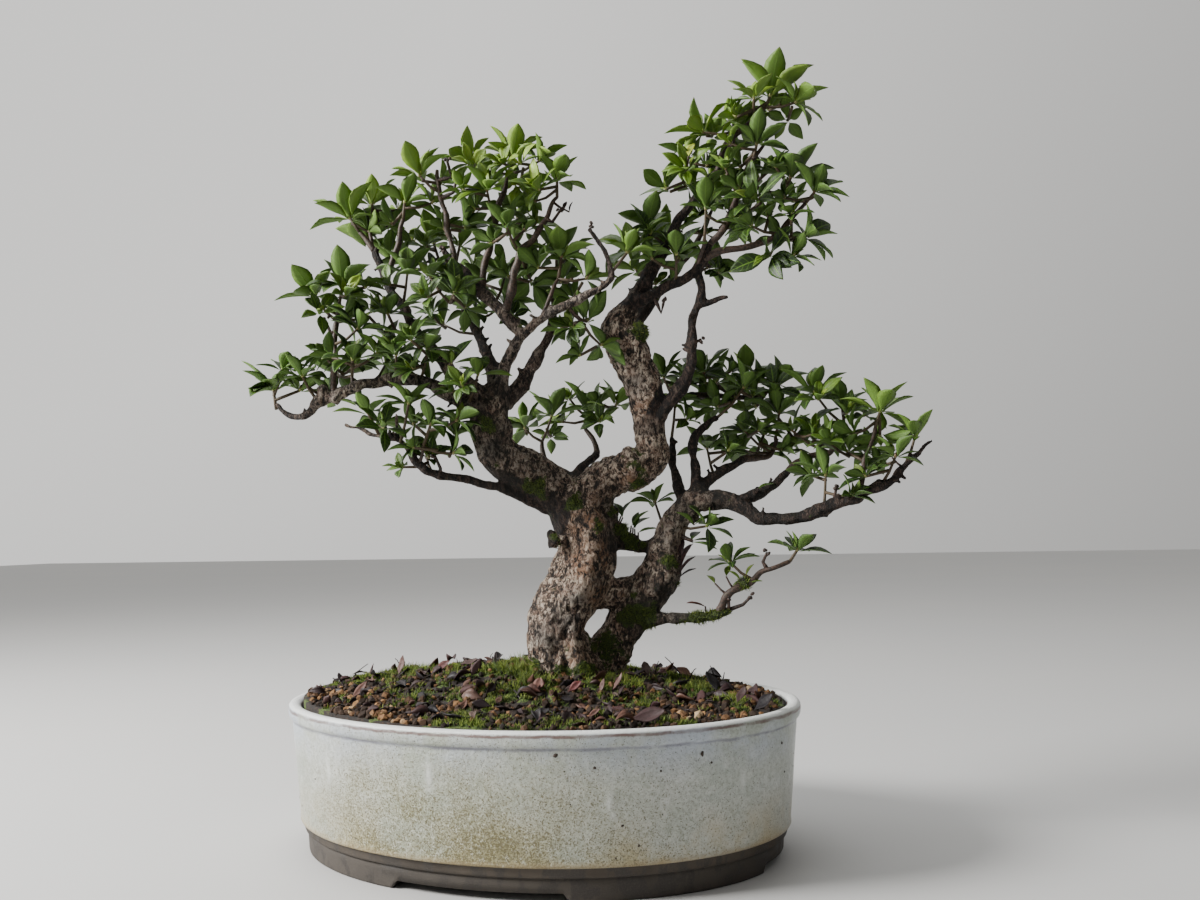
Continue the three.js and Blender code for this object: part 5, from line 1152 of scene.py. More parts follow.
# Each spray has its whorls of leaves as x, y, z, leaves in the whorl, leaf length. A single whorl has the
# point in the wood that its twig grows from, and several have their stems, as routes that start in the wood.
sprays = {
    "apex": {"stems": [[(112, 0, 391, 2.6), (118, -2, 407, 2.3), (126, -4, 415, 2), (134, -6, 421, 1.8),
        (141, -7, 428, 1.3)]],
        "whorls": [(144, -8, 434, 8, 26), (158, -13, 428, 6, 20), (133, -17, 429, 5, 19),
        (127, 10, 419, 5, 20), (104, -5, 414, 6, 21)]},
    "apexLeft": {"stems": [[(100, 2, 378, 1.8), (93, 4, 387, 1.4)]],
        "whorls": [(95, 3, 402, 5, 19), (82, 8, 384, 6, 18)]},
    "peakRight": {"stems": [[(105, -14, 343, 2.7), (114, -14, 353, 2.6), (119, -14, 364, 2.3),
        (122, -14, 373, 2), (127, -14, 386, 1.6), (132, -14, 394, 1.3)],
        [(121, -14, 370, 1.6), (131, -16, 376, 1.5), (141, -17, 373, 1.4), (149, -17, 374, 1.2)]],
        "whorls": [(134, -15, 402, 7, 20), (115, -18, 387, 5, 16), (137, 3, 388, 5, 21),
        (153, -17, 381, 7, 23), (132, -25, 366, 6, 19)]},
    "rightArm": {"stems": [[(101, -14, 334, 2.6), (111, -17, 339, 2.5), (130, -19, 341, 2.3),
        (144, -21, 347, 2.1), (154, -22, 358, 1.7), (160, -22, 364, 1.3)]],
        "whorls": [(165, -24, 370, 6, 19), (158, -27, 343, 6, 20), (138, -26, 333, 4, 20),
        (128, -27, 350, 6, 20)]},
    "crownRightFront": {"stems": [[(97, -13.5, 330, 1.6), (101, -21, 342, 1.3)]],
        "whorls": [(102, -25, 361, 6, 19)]},
    "apexLow": {"stems": [[(74, 4.5, 338, 1.7), (68, 0, 345, 1.3)]],
        "whorls": [(70, 4, 359, 6, 20), (61, -8, 344, 5, 22)]},
    "crownRightInner": {"root": (85, -9, 321), "whorls": [(85, -17, 337, 6, 20)]},
    "rearRightTop": {"stems": [[(90, 32, 341, 2.5), (99, 34, 352, 2.3), (107, 34, 366, 1.9),
        (112, 34, 378, 1.3)]],
        "whorls": [(114, 35, 387, 6, 21), (86, 42, 364, 5, 21), (126, 30, 366, 5, 21)]},
    "rearRightLow": {"root": (76, 28, 324), "whorls": [(64, 38, 341, 5, 21)]},
    "rearRightSide": {"root": (84, 30, 334), "whorls": [(109, 42, 343, 5, 21)]},
    "outerLeftTip": {"stems": [[(-96, 8, 349, 2.3), (-105, 9, 361, 1.6)],
        [(-98, 8, 352, 1.5), (-98, 11, 366, 1.2)]],
        "whorls": [(-111, 10, 370, 7, 23), (-98, 12, 379, 6, 21), (-104, 27, 362, 5, 20)]},
    "outerLeftFork": {"stems": [[(-88, 5, 331, 2.4), (-83, 3, 344, 2.2), (-80, 2, 354, 2),
        (-77, 0, 366, 1.4)]],
        "whorls": [(-76, 0, 376, 6, 20)]},
    "outerLeftLow": {"stems": [[(-75, 0, 309, 1.8), (-76, -5, 316, 1.3)],
        [(-70, -2, 299, 1.8), (-75, -10, 295, 1.5), (-79, -17, 296, 1.2)]],
        "whorls": [(-73, -10, 330, 6, 19), (-82, -22, 304, 6, 18)]},
    "crownLeftLow": {"stems": [[(-34, -7, 324, 2), (-42, -12, 317, 1.7), (-47, -17, 311, 1.2)]],
        "whorls": [(-58, -17, 326, 6, 19), (-43, -26, 315, 6, 19)]},
    "crownLeftTip": {"stems": [[(-46, -4, 336, 2.6), (-48, -2, 349, 2.4), (-50, -2, 362, 2.1),
        (-54, -2, 381, 1.8), (-56, -2, 395, 1.2)]],
        "whorls": [(-41, 3, 361, 6, 19), (-66, -4, 391, 6, 20)]},
    "crownMid": {"stems": [[(-29, -8, 319, 2.8), (-29, -4, 335, 2.7), (-25, -1, 349, 2.5),
        (-22, 2, 362, 2.2), (-19, 4, 378, 1.9), (-14, 5, 394, 1.4)]],
        "whorls": [(-36, 10, 372, 5, 21), (-25, -14, 378, 6, 21), (-12, 6, 404, 8, 22), (5, -3, 399, 6, 19),
        (-37, 9, 403, 6, 19), (-10, 24, 372, 5, 21)]},
    "crownFork": {"stems": [[(-16, -14, 304, 3), (-11, -14, 317, 2.8), (-9, -14, 331, 2.6),
        (-6, -14, 340, 2.4), (3, -14, 349, 2.2), (9, -13, 361, 1.9), (16, -12, 374, 1.3)]],
        "whorls": [(16, -10, 384, 6, 20), (-13, -24, 353, 6, 20), (-1, 3, 328, 5, 20)]},
    "centreBright": {"stems": [[(6, -22, 299, 1.8), (12, -20, 312, 1.5), (16, -17, 324, 1.2)]],
        "whorls": [(18, -15, 337, 7, 23), (32, -16, 324, 6, 20)]},
    "centreLow": {"stems": [[(22, -24, 307, 1.5), (28, -18, 300, 1.2)]],
        "whorls": [(32, -10, 300, 6, 19), (40, -9, 286, 6, 20)]},
    "centreDark": {"stems": [[(12, 8, 308, 2.2), (13, 10, 322, 1.9), (14, 11, 333, 1.3)]],
        "whorls": [(14, 13, 345, 6, 20)]},
    "centreDarkLeft": {"root": (-22, -11, 311), "whorls": [(-17, 9, 333, 5, 19)]},
    "longShootEnd": {"root": (47, -26, 325), "whorls": [(56, -27, 336, 6, 18)]},
    "rearLeftTop": {"stems": [[(-45, 32, 318, 2.5), (-56, 38, 338, 2.1), (-62, 40, 352, 1.4)]],
        "whorls": [(-65, 41, 362, 6, 21), (-40, 42, 346, 5, 21), (-82, 34, 348, 5, 21)]},
    "rearLeftLow": {"root": (-36, 24, 300), "whorls": [(-58, 32, 308, 5, 20)]},
    "rearLeftSide": {"root": (-40, 28, 309), "whorls": [(-20, 36, 321, 5, 21)]},
    "armLeftTip": {"root": (-148, -16, 251), "whorls": [(-150, -15, 262, 7, 22)]},
    "armLeftKnee": {"root": (-123, -20, 255), "whorls": [(-131, -23, 269, 6, 15)]},
    "riserLeft": {"stems": [[(-113, -21, 258, 2.8), (-114, -20, 272, 2.5), (-113, -19, 288, 2.2),
        (-112, -18, 301, 1.9), (-111, -18, 312, 1.3)]],
        "whorls": [(-126, -15, 317, 6, 20), (-109, -19, 322, 7, 21), (-94, -11, 308, 6, 20),
        (-98, -28, 295, 5, 18)]},
    "armLeftMid": {"stems": [[(-103, -22, 261, 1.5), (-103, -21, 269, 1.2)]],
        "whorls": [(-101, -29, 277, 6, 19), (-116, -5, 273, 5, 20)]},
    "armLeftBright": {"root": (-78, -21, 267), "whorls": [(-76, -30, 279, 7, 20)]},
    "armLeftInner": {"root": (-64, -19, 266), "whorls": [(-58, -30, 282, 7, 20)]},
    "armLeftRoot": {"root": (-49, -16, 258), "whorls": [(-45, -29, 274, 6, 18)]},
    "armLeftFirst": {"root": (-38, -13, 251), "whorls": [(-30, -29, 267, 4, 17)]},
    "armLeftRear": {"root": (-91, -22, 265), "whorls": [(-87, -5, 278, 5, 20)]},
    "lowLeftFirst": {"stems": [[(-66, -22, 218, 1.4), (-62, -25, 227, 1.1)]],
        "whorls": [(-57, -29, 239, 6, 17), (-45, -24, 223, 5, 15)]},
    "lowLeftSecond": {"root": (-75, -24, 230), "whorls": [(-69, -31, 251, 6, 17)]},
    "lowLeftThird": {"root": (-87, -24, 234), "whorls": [(-92, -29, 246, 6, 17)]},
    "lowLeftRear": {"root": (-58, -20, 213), "whorls": [(-64, -3, 225, 5, 18)]},
    "backRightLeaves": {"stems": [[(36, 36, 225, 2.5), (34, 45, 235, 2), (29, 51, 243, 1.4)]],
        "whorls": [(31, 54, 253, 7, 21), (49, 49, 257, 5, 19)]},
    "backLeftLeaves": {"stems": [[(12, 26, 216, 2.4), (4, 34, 224, 2), (2, 40, 234, 1.4)]],
        "whorls": [(8, 43, 250, 6, 22), (-9, 47, 243, 5, 20)]},
    "trunkGapLeaves": {"root": (77, 3, 176), "whorls": [(71, 19, 194, 5, 14)]},
    "longArmRiser": {"stems": [[(184, -22, 194, 2.2), (187, -22, 204, 2), (189, -21, 214, 1.8),
        (192, -21, 222, 1.6), (196, -20, 233, 1.2)]],
        "whorls": [(199, -20, 242, 7, 21), (182, -10, 220, 5, 17)]},
    "longArmKnee": {"root": (198, -22, 201), "whorls": [(205, -27, 216, 6, 17)]},
    "longArmEnd": {"root": (212, -22, 212), "whorls": [(217, -25, 227, 6, 16)]},
    "longArmLow": {"root": (165, -20, 187), "whorls": [(168, -14, 207, 6, 16)]},
    "midArmEnd": {"stems": [[(149, 4, 210, 2.7), (158, 7, 217, 2.5), (167, 9, 220, 2.3), (176, 6, 221, 2),
        (180, 5, 231, 1.6), (184, 4, 237, 1.2)]],
        "whorls": [(183, 4, 247, 6, 19), (167, 5, 257, 6, 21), (154, 10, 235, 5, 19),
        (170, 23, 230, 5, 19)]},
    "innerArmEnd": {"stems": [[(125, 14, 219, 2.6), (134, 18, 220, 2.4), (143, 22, 223, 1.9),
        (146, 24, 232, 1.3)]],
        "whorls": [(149, 26, 247, 6, 19), (128, 24, 236, 5, 18), (128, 38, 226, 5, 19)]},
    "innerArmSide": {"root": (106, 5, 208), "whorls": [(104, 24, 226, 6, 18)]},
    "innerRiserEnd": {"root": (109, 11, 244), "whorls": [(126, 14, 262, 6, 19)]},
    "thinRiserEnd": {"root": (82, 18, 233), "whorls": [(85, 22, 255, 5, 18)]},
    "rearArmFirst": {"root": (85, 26, 257), "whorls": [(79, 32, 272, 6, 19)]},
    "rearArmEnd": {"stems": [[(98, 33, 260, 2.6), (110, 38, 261, 2.3), (124, 42, 260, 1.9),
        (138, 38, 259, 1.3)]],
        "whorls": [(131, 42, 272, 6, 21), (104, 31, 274, 5, 20), (114, 53, 271, 5, 20),
        (150, 33, 266, 6, 19)]},
    "lowRightShoot": {"stems": [[(104, -11, 128, 2.6), (109, -14, 140, 2.7), (117, -15, 145, 3),
        (124, -16, 148, 2.6), (129, -17, 152, 2), (136, -18, 155, 1.6), (145, -18, 158, 1.2)]],
        "whorls": [(149, -19, 164, 6, 17), (112, -11, 158, 5, 15)]},
    "trunkSideLeaves": {"root": (80, 0, 180), "whorls": [(99, -11, 179, 6, 17)]},
}

leafRule = {"hub": 1.3, "spread": 0.23, "cup": 0.05, "droop": 0.08, "turn": 0.16, "rise": 0.18, "roll": 0.4,
            "length": 0.3, "rises": [6, 40, 16, 48, 26, 56, 30, 52],
            "shrinks": [1, 0.95, 0.88, 0.8, 0.7, 0.6], "stemGap": (1, 1.9), "leafGap": (1.5, 2.3),
            "long": [0.18, 0.34, 0.5, 0.66, 0.82, 1], "cross": [-1, -0.5, 0, 0.5, 1],
            # the draws that the solids' leaves were made with: a first number, a factor and a remainder
            "first": 20461, "factor": 16807, "remainder": 2147483647}
drawState = [leafRule["first"]]


def draw():
    drawState[0] = (drawState[0] * leafRule["factor"]) % leafRule["remainder"]
    return drawState[0] / leafRule["remainder"]


def leafAt(whorl, index, shrink, chance=draw, rise=None):
    # the place of a leaf in its whorl, and points over it that show what it would touch
    turn = whorl["phase"] + ((index + (chance() - 0.5) * leafRule["turn"]) / whorl["count"]) * wholeTurn
    lift = math.radians(leafRule["rises"][index % 8]) if rise is None else rise
    lift += (chance() - 0.5) * leafRule["rise"]
    roll = (chance() - 0.5) * leafRule["roll"]
    length = whorl["leafLength"] * (0.94 + chance() * leafRule["length"]) * shrink
    out = whorl["side"] * math.cos(turn) + whorl["other"] * math.sin(turn)
    way = out * math.cos(lift) + whorl["axis"] * math.sin(lift)
    level = np.cross(whorl["axis"], out)
    across = level * math.cos(roll) + np.cross(way, level) * math.sin(roll)
    face = np.cross(way, across)
    root = whorl["centre"] + out * leafRule["hub"]
    middle = root + way * length * 0.5 + face * length * leafRule["cup"]
    tip = root + way * length * 0.98 - face * length * leafRule["droop"]
    samples = []
    for share in leafRule["long"]:
        near = share < 0.5
        spine = root + (middle - root) * share * 2 if near else middle + (tip - middle) * (share * 2 - 1)
        half = length * leafRule["spread"] * (share if near else 1 - share) * 2
        samples += [spine + across * offset * half for offset in leafRule["cross"]]
    return {"root": root, "middle": middle, "tip": tip, "across": across, "face": face, "length": length,
            "samples": np.array(samples), "whorl": whorl}


class Thicket:
    # everything that a new leaf has to stay clear of
    def __init__(self):
        self.stems, self.leaves = [], []

    def addStems(self, stations, owner):
        self.stems += [(start, end, max(first, last), id(owner))
                       for (start, first), (end, last) in zip(stations, stations[1:])]

    def freeze(self):
        self.starts, self.ends, self.radii, self.owners = (np.array(column) for column in zip(*self.stems))

    def gaps(self, points, stems):
        run = self.ends[stems] - self.starts[stems]
        offset = points[:, None] - self.starts[stems][None]
        t = np.clip((offset * run).sum(axis=2) / (run * run).sum(axis=1), 0, 1)
        return np.linalg.norm(offset - run * t[..., None], axis=2) - self.radii[stems]

    def isClear(self, leaf, owner, stemGap, leafGap):
        reach = leaf["length"] * 0.6
        every = np.arange(len(self.starts))
        near = every[self.gaps(leaf["middle"][None], every)[0] < reach + 2]
        near = near[self.owners[near] != id(leaf["whorl"])]
        if len(near):
            least = np.where(self.owners[near] == id(owner), *stemGap)
            if (self.gaps(leaf["samples"], near) < least).any():
                return False
        if not self.leaves:
            return True
        middles = np.array([other["middle"] for other, _ in self.leaves])
        lengths = np.array([other["length"] for other, _ in self.leaves])
        away = np.linalg.norm(middles - leaf["middle"], axis=1)
        for index in np.flatnonzero(away < reach + lengths * 0.6 + leafGap[1]):
            other, itsOwner = self.leaves[index]
            if other["whorl"] is leaf["whorl"]:
                continue
            apart = np.linalg.norm(other["samples"][:, None] - leaf["samples"][None], axis=2)
            if (apart < leafGap[0 if itsOwner is owner else 1]).any():
                return False
        return True

    def addLeaf(self, leaf, owner):
        self.leaves.append((leaf, owner))


def newWhorl(centre, root, count, leafLength):
    # a whorl at the end of a twig that leaves the wood at the root and bends up
    reach = np.linalg.norm(root - centre)
    knee = root + (centre - root) * 0.55 - up * 0.16 * reach
    middle = root * 0.25 + knee * 0.5 + centre * 0.25
    axis = unit(unit(centre - knee) + up * 0.7)
    side = unit(np.cross((0, 1, 0), axis))
    course = [root, middle, centre] if reach > 15 else [root, centre]
    return {"centre": centre, "count": count, "leafLength": leafLength, "axis": axis, "side": side,
            "other": np.cross(axis, side), "twig": [(point, 1) for point in course], "leaves": []}


def nearestStation(centre, stems):
    # where on the stems a whorl's twig starts: below it, and past the first third of the main stem
    choice = [station for index, stations in enumerate(stems)
              for station in (stations[math.ceil(len(stations) * 0.35):] if index == 0 else stations[1:])]
    return min(choice, key=lambda station: np.linalg.norm(station[0] - (centre - up * 10)))[0]


def planSprays():
    plans, thicket = [], Thicket()
    for name, spray in sprays.items():
        stems = [stationsAlong(route, 1) for route in spray.get("stems", [])]
        whorls = []
        for *place, count, leafLength in spray["whorls"]:
            centre = turned(place)
            root = turned(spray["root"]) if "root" in spray else nearestStation(centre, stems)
            whorls.append(newWhorl(centre, root, count, leafLength))
        plans.append({"name": name, "stems": stems, "whorls": whorls})
    for name, route in limbs.items():
        thicket.addStems(stationsAlong(route, 2 if name == "trunk" else 1), limbs)
    for plan in plans:
        for stem in plan["stems"]:
            thicket.addStems(stem, plan)
        for whorl in plan["whorls"]:
            thicket.addStems(whorl["twig"], whorl)
    thicket.freeze()
    for plan in plans:
        for whorl in plan["whorls"]:
            whorl["phase"] = draw() * wholeTurn
            for index in range(whorl["count"]):
                # all sizes are drawn, and the largest one that is clear is kept
                trials = [leafAt(whorl, index, shrink) for shrink in leafRule["shrinks"]]
                for leaf in trials:
                    if thicket.isClear(leaf, plan, leafRule["stemGap"], leafRule["leafGap"]):
                        whorl["leaves"].append(leaf)
                        thicket.addLeaf(leaf, plan)
                        break
    return plans, thicket


plans, thicket = planSprays()
print("leaves planned", sum(len(whorl["leaves"]) for plan in plans for whorl in plan["whorls"]))

foliage = {"seed": 907, "youngCount": (3, 6), "youngLength": (0.3, 0.62), "youngRise": (58, 80),
           "lowerCount": (2, 4), "lowerLength": (0.75, 1.0), "lowerRise": (-24, 6), "twigSides": 7,
           "tuckGap": (0.35, 0.5), "tuckLeafGap": (0.55, 0.8), "fold": (0.2, 0.55), "bend": 0.05,
           "lift": 0.05, "sizes": (1.0, 0.97, 0.93, 0.88), "budLength": 3.2,
           "edgeGap": 0.3, "leafEdgeGap": 1.0, "shadeHeights": (8, 90), "shadeReach": 12, "shadeEach": 0.2,
           # side shoots: tries, shoots for each start, length, share of a whole leaf, and room round them
           "shootTries": 14, "shootsEach": 1, "shootLength": (9, 17), "shootLeaf": (0.55, 0.82),
           "fullLeaf": 20, "shootSizes": (1, 0.85, 0.7), "shootSpace": 12.5, "shootGap": (0.5, 0.7),
           "shootLeafGap": (0.8, 1.0), "crownReach": 55, "outwardMost": 4,
           "bareOf": ["lowRightShoot", "trunkSideLeaves", "trunkGapLeaves", "longShootEnd"]}


def makeLeafFinish():
    use = Finish("leafBlade")
    along, under = use.value("leafAlong"), use.value("leafUnder")
    aside = use.math("ABSOLUTE", use.value("leafAcross"))
    colour = use.ramp(use.value("leafTone"), [(0.0, (0.009, 0.021, 0.003)), (0.35, (0.035, 0.072, 0.006)),
                                              (0.7, (0.12, 0.205, 0.012)), (1.0, (0.26, 0.37, 0.03))])
    mottle = use.blotches(160.0, 5.0, 0.35, 0.7)
    slant = use.math("SUBTRACT", along, use.times(aside, 0.16))
    veins = use.band(use.math("SINE", use.times(slant, 44.0)), 0.72, 1.0)
    lines = use.math("MAXIMUM", use.times(veins, 0.22), use.times(use.band(aside, 0.11, 0.03), 0.6))
    colour = use.layered(colour, [
        (use.value("leafAge"), (0.38, 0.42, 0.05)),
        (mottle, (0.02, 0.055, 0.016), 0.4),
        (lines, (0.17, 0.33, 0.04)),
        (under, (0.12, 0.22, 0.04), 0.6),
        (use.band(along, 0.93, 1.0), (0.14, 0.08, 0.03), 0.5)])
    relief = use.math("SUBTRACT", use.band(mottle, 0.0, 1.0, 0.4, 0.6), lines)
    return use.done(colour, use.band(under, 0.0, 1.0, 0.46, 0.66), relief, 0.35, 0.0006,
                    sheen=0.35, glow=0.14, glowReach=(0.0012, 0.0022, 0.0005))


def makeBudFinish():
    use = Finish("budScale")
    fuzz = use.noise(1500.0, 2.0, 0.5)
    colour = use.blend(use.value("leafTone"), (0.10, 0.045, 0.018), (0.30, 0.34, 0.085))
    return use.done(use.blend(use.band(fuzz, 0.5, 0.7), colour, (0.42, 0.38, 0.2)), 0.55, fuzz, 0.3, 0.0003)


def openness(plans):
    # how much light a whorl gets: whorls above it take light away
    centres = np.array([whorl["centre"] for plan in plans for whorl in plan["whorls"]])
    for plan in plans:
        for whorl in plan["whorls"]:
            apart = centres - whorl["centre"]
            level = np.hypot(apart[:, 0], apart[:, 1])
            rise, (lowest, highest) = apart[:, 2], foliage["shadeHeights"]
            above = (rise > lowest) & (rise < highest) & (level < foliage["shadeReach"] + rise * 0.5)
            whorl["open"] = float(np.exp(-above.sum() * foliage["shadeEach"]))


lowBox, highBox = ((np.array(list(corner)) - potMiddle) * 1000 for corner in cadBox)


def inBox(points, margin):
    return bool((points > lowBox + margin).all() and (points < highBox - margin).all())


def addBlade(bundle, leaf, tone, age, dice):
    # a leaf that would leave the box is straightened, and then made smaller
    root, bend = leaf["root"], dice.normal() * foliage["bend"]
    for trial, size in enumerate(foliage["sizes"]):
        tip = root + (leaf["tip"] - root + leaf["face"] * leaf["length"] * foliage["lift"]) * size
        points = bladePoints(root, root + (leaf["middle"] - root) * size, tip, leaf["across"], leaf["face"],
                             leaf["length"] * size, dice.uniform(*foliage["fold"]), 0.0 if trial else bend,
                             dice.uniform(0, 0.35))
        if inBox(points, foliage["edgeGap"]):
            break
    addTo(bundle, points, bladeQuads, bladeTris, 0, leafTone=tone, leafAge=age, **bladeLooks)


def addBud(bundle, centre, axis, length, tone):
    line = [(centre - axis * 0.5, 0.8), (centre + axis * length * 0.3, 1.05),
            (centre + axis * length * 0.7, 0.7), (centre + axis * length, 0.2)]
    addTo(bundle, *tube(line, 7), 2, leafTone=tone)


def growExtras(plan, dice):
    # the young leaves upright in the whorl's middle, and the lower leaves that hang beneath it
    for whorl in plan["whorls"]:
        whorl["young"], tries = [], []
        for kind in ("young", "lower"):
            for _ in range(dice.integers(*foliage[kind + "Count"])):
                rise = math.radians(dice.uniform(*foliage[kind + "Rise"]))
                tries.append((rise, dice.uniform(*foliage[kind + "Length"]), kind == "young"))
        for rise, share, isYoung in tries:
            start = dice.uniform(0, whorl["count"])
            leaf = leafAt(whorl, start, share, dice.random, rise)
            if not isYoung and not thicket.isClear(leaf, plan, foliage["tuckGap"], foliage["tuckLeafGap"]):
                continue
            if inBox(leaf["samples"], foliage["leafEdgeGap"]):
                whorl["young"].append((leaf, isYoung))
                if not isYoung:
                    thicket.addLeaf(leaf, plan)


def growShoots(plan, centres, dice):
    # short side shoots with a whorl of their own, where the crown has room inside its outline
    if plan["name"] in foliage["bareOf"]:
        return 0
    starts = [point for whorl in plan["whorls"] for point in
              (whorl["centre"] - whorl["axis"] * 3, (whorl["twig"][0][0] + whorl["twig"][-1][0]) / 2)]
    grown = []
    for start in starts:
        made = 0
        for _ in range(foliage["shootTries"]):
            way = unit(np.append(dice.normal(size=2), dice.uniform(-0.5, 0.9)))
            centre = start + way * dice.uniform(*foliage["shootLength"])
            count, share = int(dice.integers(5, 8)), dice.uniform(*foliage["shootLeaf"])
            phase = dice.uniform(0, wholeTurn)
            seats = np.array(centres)
            apart = np.linalg.norm(seats - centre, axis=1)
            crown = seats[np.linalg.norm(seats - start, axis=1) < foliage["crownReach"]].mean(axis=0)
            outward = np.linalg.norm(centre - crown) - np.linalg.norm(start - crown)
            isCrowded = apart.min() < foliage["shootSpace"]
            if made == foliage["shootsEach"] or isCrowded or outward > foliage["outwardMost"]:
                continue
            whorl = newWhorl(centre, start, count, foliage["fullLeaf"] * share)
            whorl["phase"] = phase
            for index in range(count):
                trials = [leafAt(whorl, index, shrink, dice.random) for shrink in foliage["shootSizes"]]
                clear = [leaf for leaf in trials if inBox(leaf["samples"], foliage["leafEdgeGap"])
                         and thicket.isClear(leaf, plan, foliage["shootGap"], foliage["shootLeafGap"])]
                whorl["leaves"] += clear[:1]
            if len(whorl["leaves"]) < count - 2:
                continue
            grown.append(whorl)
            centres.append(centre)
            made += 1
            for leaf in whorl["leaves"]:
                thicket.addLeaf(leaf, plan)
    plan["whorls"] += grown
    return len(grown)


def makeSpray(plan, finishes, dice):
    bundle = newBundle("leafAlong", "leafAcross", "leafUnder", "leafTone", "leafAge", "young")
    for stem in sprays[plan["name"]].get("stems", []):
        addTo(bundle, *tube(knotted(stationsAlong(stem, 6)), 9), 1, young=0.05)
    for whorl in plan["whorls"]:
        line = [(point, 1.0 - 0.15 * index) for index, (point, radius) in enumerate(whorl["twig"])]
        if len(line) == 2:
            line.insert(1, ((line[0][0] + line[1][0]) / 2, 0.95))
        addTo(bundle, *tube(line, foliage["twigSides"]), 1, young=0.4)
        budLength = foliage["budLength"] * dice.uniform(0.8, 1.3)
        addBud(bundle, whorl["centre"], whorl["axis"], budLength, dice.random())
        # the low leaves on the right stand in shade
        low = clipped((300 - whorl["centre"][2]) / 120) * clipped((whorl["centre"][0] - 40) / 60)
        base = 0.2 + 0.6 * whorl["open"] - 0.2 * low + dice.normal() * 0.1
        for leaf in whorl["leaves"]:
            addBlade(bundle, leaf, clipped(base + dice.normal() * 0.12), 0.0, dice)
        for leaf, isYoung in whorl["young"]:
            tone = base + (0.25 if isYoung else -0.12) + dice.normal() * 0.08
            addBlade(bundle, leaf, clipped(tone), 0.25 * dice.random() if isYoung else 0.0, dice)
    words = "".join("_" + letter.lower() if letter.isupper() else letter for letter in plan["name"])
    piece = makePiece("leaves_" + words, bundle, finishes)
    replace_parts(piece, "spray_" + words)


leafDice = np.random.default_rng(foliage["seed"])
seats = [whorl["centre"] for plan in plans for whorl in plan["whorls"]]
print("side shoots", sum(growShoots(plan, seats, leafDice) for plan in plans))
openness(plans)
finishes = [makeLeafFinish(), makeTwigBark(), makeBudFinish()]
for plan in plans:
    growExtras(plan, leafDice)
for plan in plans:
    makeSpray(plan, finishes, leafDice)
print("leaves made")

# what is dead, dry or stray in the crown

strays = {"seed": 333, "pods": 4,
          # dead twigs as x, y, z of the tip and of a point on the way to it
          "twigs": [((-50, -4, 401), (-47, -4, 390)), ((122, -10, 416), (121, -10, 404)),
                    ((143, -12, 410), (138, -12, 402)), ((-56, -20, 222), (-53, -20, 215)),
                    ((78, -6, 313), (76, -6, 305)), ((172, -22, 199), (171, -21, 194)),
                    ((98, -16, 287), (88, -11, 282)), ((110, -15, 138), (110, -14, 133)),
                    ((122, -16, 138), (118, -15, 134)), ((132, -18, 163), (130, -16, 158)),
                    ((18, -13, 366), (13, -13, 359)), ((36, -27, 353), (35, -26, 350)),
                    ((-43, -8, 389), (-46, -6, 380)), ((-52, -12, 344), (-50, -8, 338)),
                    ((-119, -19, 302), (-116, -19, 295))],
          # x, y, z, length, degrees of turn and rise, then tone, age, dryness; the low tones of the leaves
          # beside and behind the trunks are painted shade
          "leaves": [(97, -10, 133, 12, 195, 12, 1.0, 0, 1), (94, -12, 397, 14, 60, 50, 0.9, 1, 0),
                     (205, -20, 216, 12, 100, 60, 0.8, 1, 0), (92, -8, 180, 17, -20, 20, 0.3, 0, 0),
                     (91, -8, 171, 16, 10, -5, 0.25, 0, 0), (91, -8, 170, 15, -40, -15, 0.2, 0, 0),
                     (92, -8, 180, 15, -150, 30, 0.3, 0, 0), (117, -15, 148, 10, 200, 35, 0.5, 0.2, 0),
                     (120, -15, 150, 9, 20, 50, 0.6, 0.3, 0), (122, -16, 146, 8, -30, 10, 0.5, 0.2, 0),
                     (129, -12, 200, 12, 25, 14, 0.35, 0, 0), (56, 8, 180, 14, -10, 40, 0.15, 0, 0),
                     (57, 8, 179, 14, 30, 25, 0.1, 0, 0), (60, 8, 176, 13, -30, 10, 0.1, 0, 0),
                     (51, 8, 185, 13, 120, 45, 0.2, 0, 0), (58, 8, 178, 12, 60, 60, 0.15, 0, 0),
                     (50, 7, 186, 12, 20, 50, 0.1, 0, 0), (92, -8, 181, 15, 15, 15, 0.3, 0, 0),
                     (90, -8, 171, 14, 60, 20, 0.15, 0, 0), (91, -8, 170, 15, -5, -18, 0.15, 0, 0),
                     (103, -10, 146, 9, 120, 30, 0.55, 0.2, 0), (109, -14, 150, 9, 60, 45, 0.5, 0.1, 0),
                     (106, -14, 138, 8, -20, 20, 0.5, 0.2, 0), (112, -14, 142, 8, 10, 50, 0.45, 0.1, 0),
                     (84, -5, 161, 12, 40, 72, 0.1, 0, 1), (84, -6, 158, 13, 20, 58, 0.6, 0, 1),
                     (84, -5, 154, 12, 10, 40, 0.2, 0, 1), (84, -5, 163, 11, 60, 66, 0.4, 0, 1),
                     (84, -6, 156, 13, -10, 62, 0.7, 0, 1), (83, -5, 150, 11, 0, 25, 0.1, 0, 1),
                     (84, -6, 159, 13, -30, 52, 0.3, 0, 1), (83, -6, 152, 12, -20, 48, 0.5, 0, 1),
                     (84, -5, 157, 12, 25, 80, 0.5, 0, 1), (20, -13, 366, 7, 60, 60, 0.3, 0, 1),
                     (23, -12, 365, 7, 20, 70, 0.2, 0, 1)]}


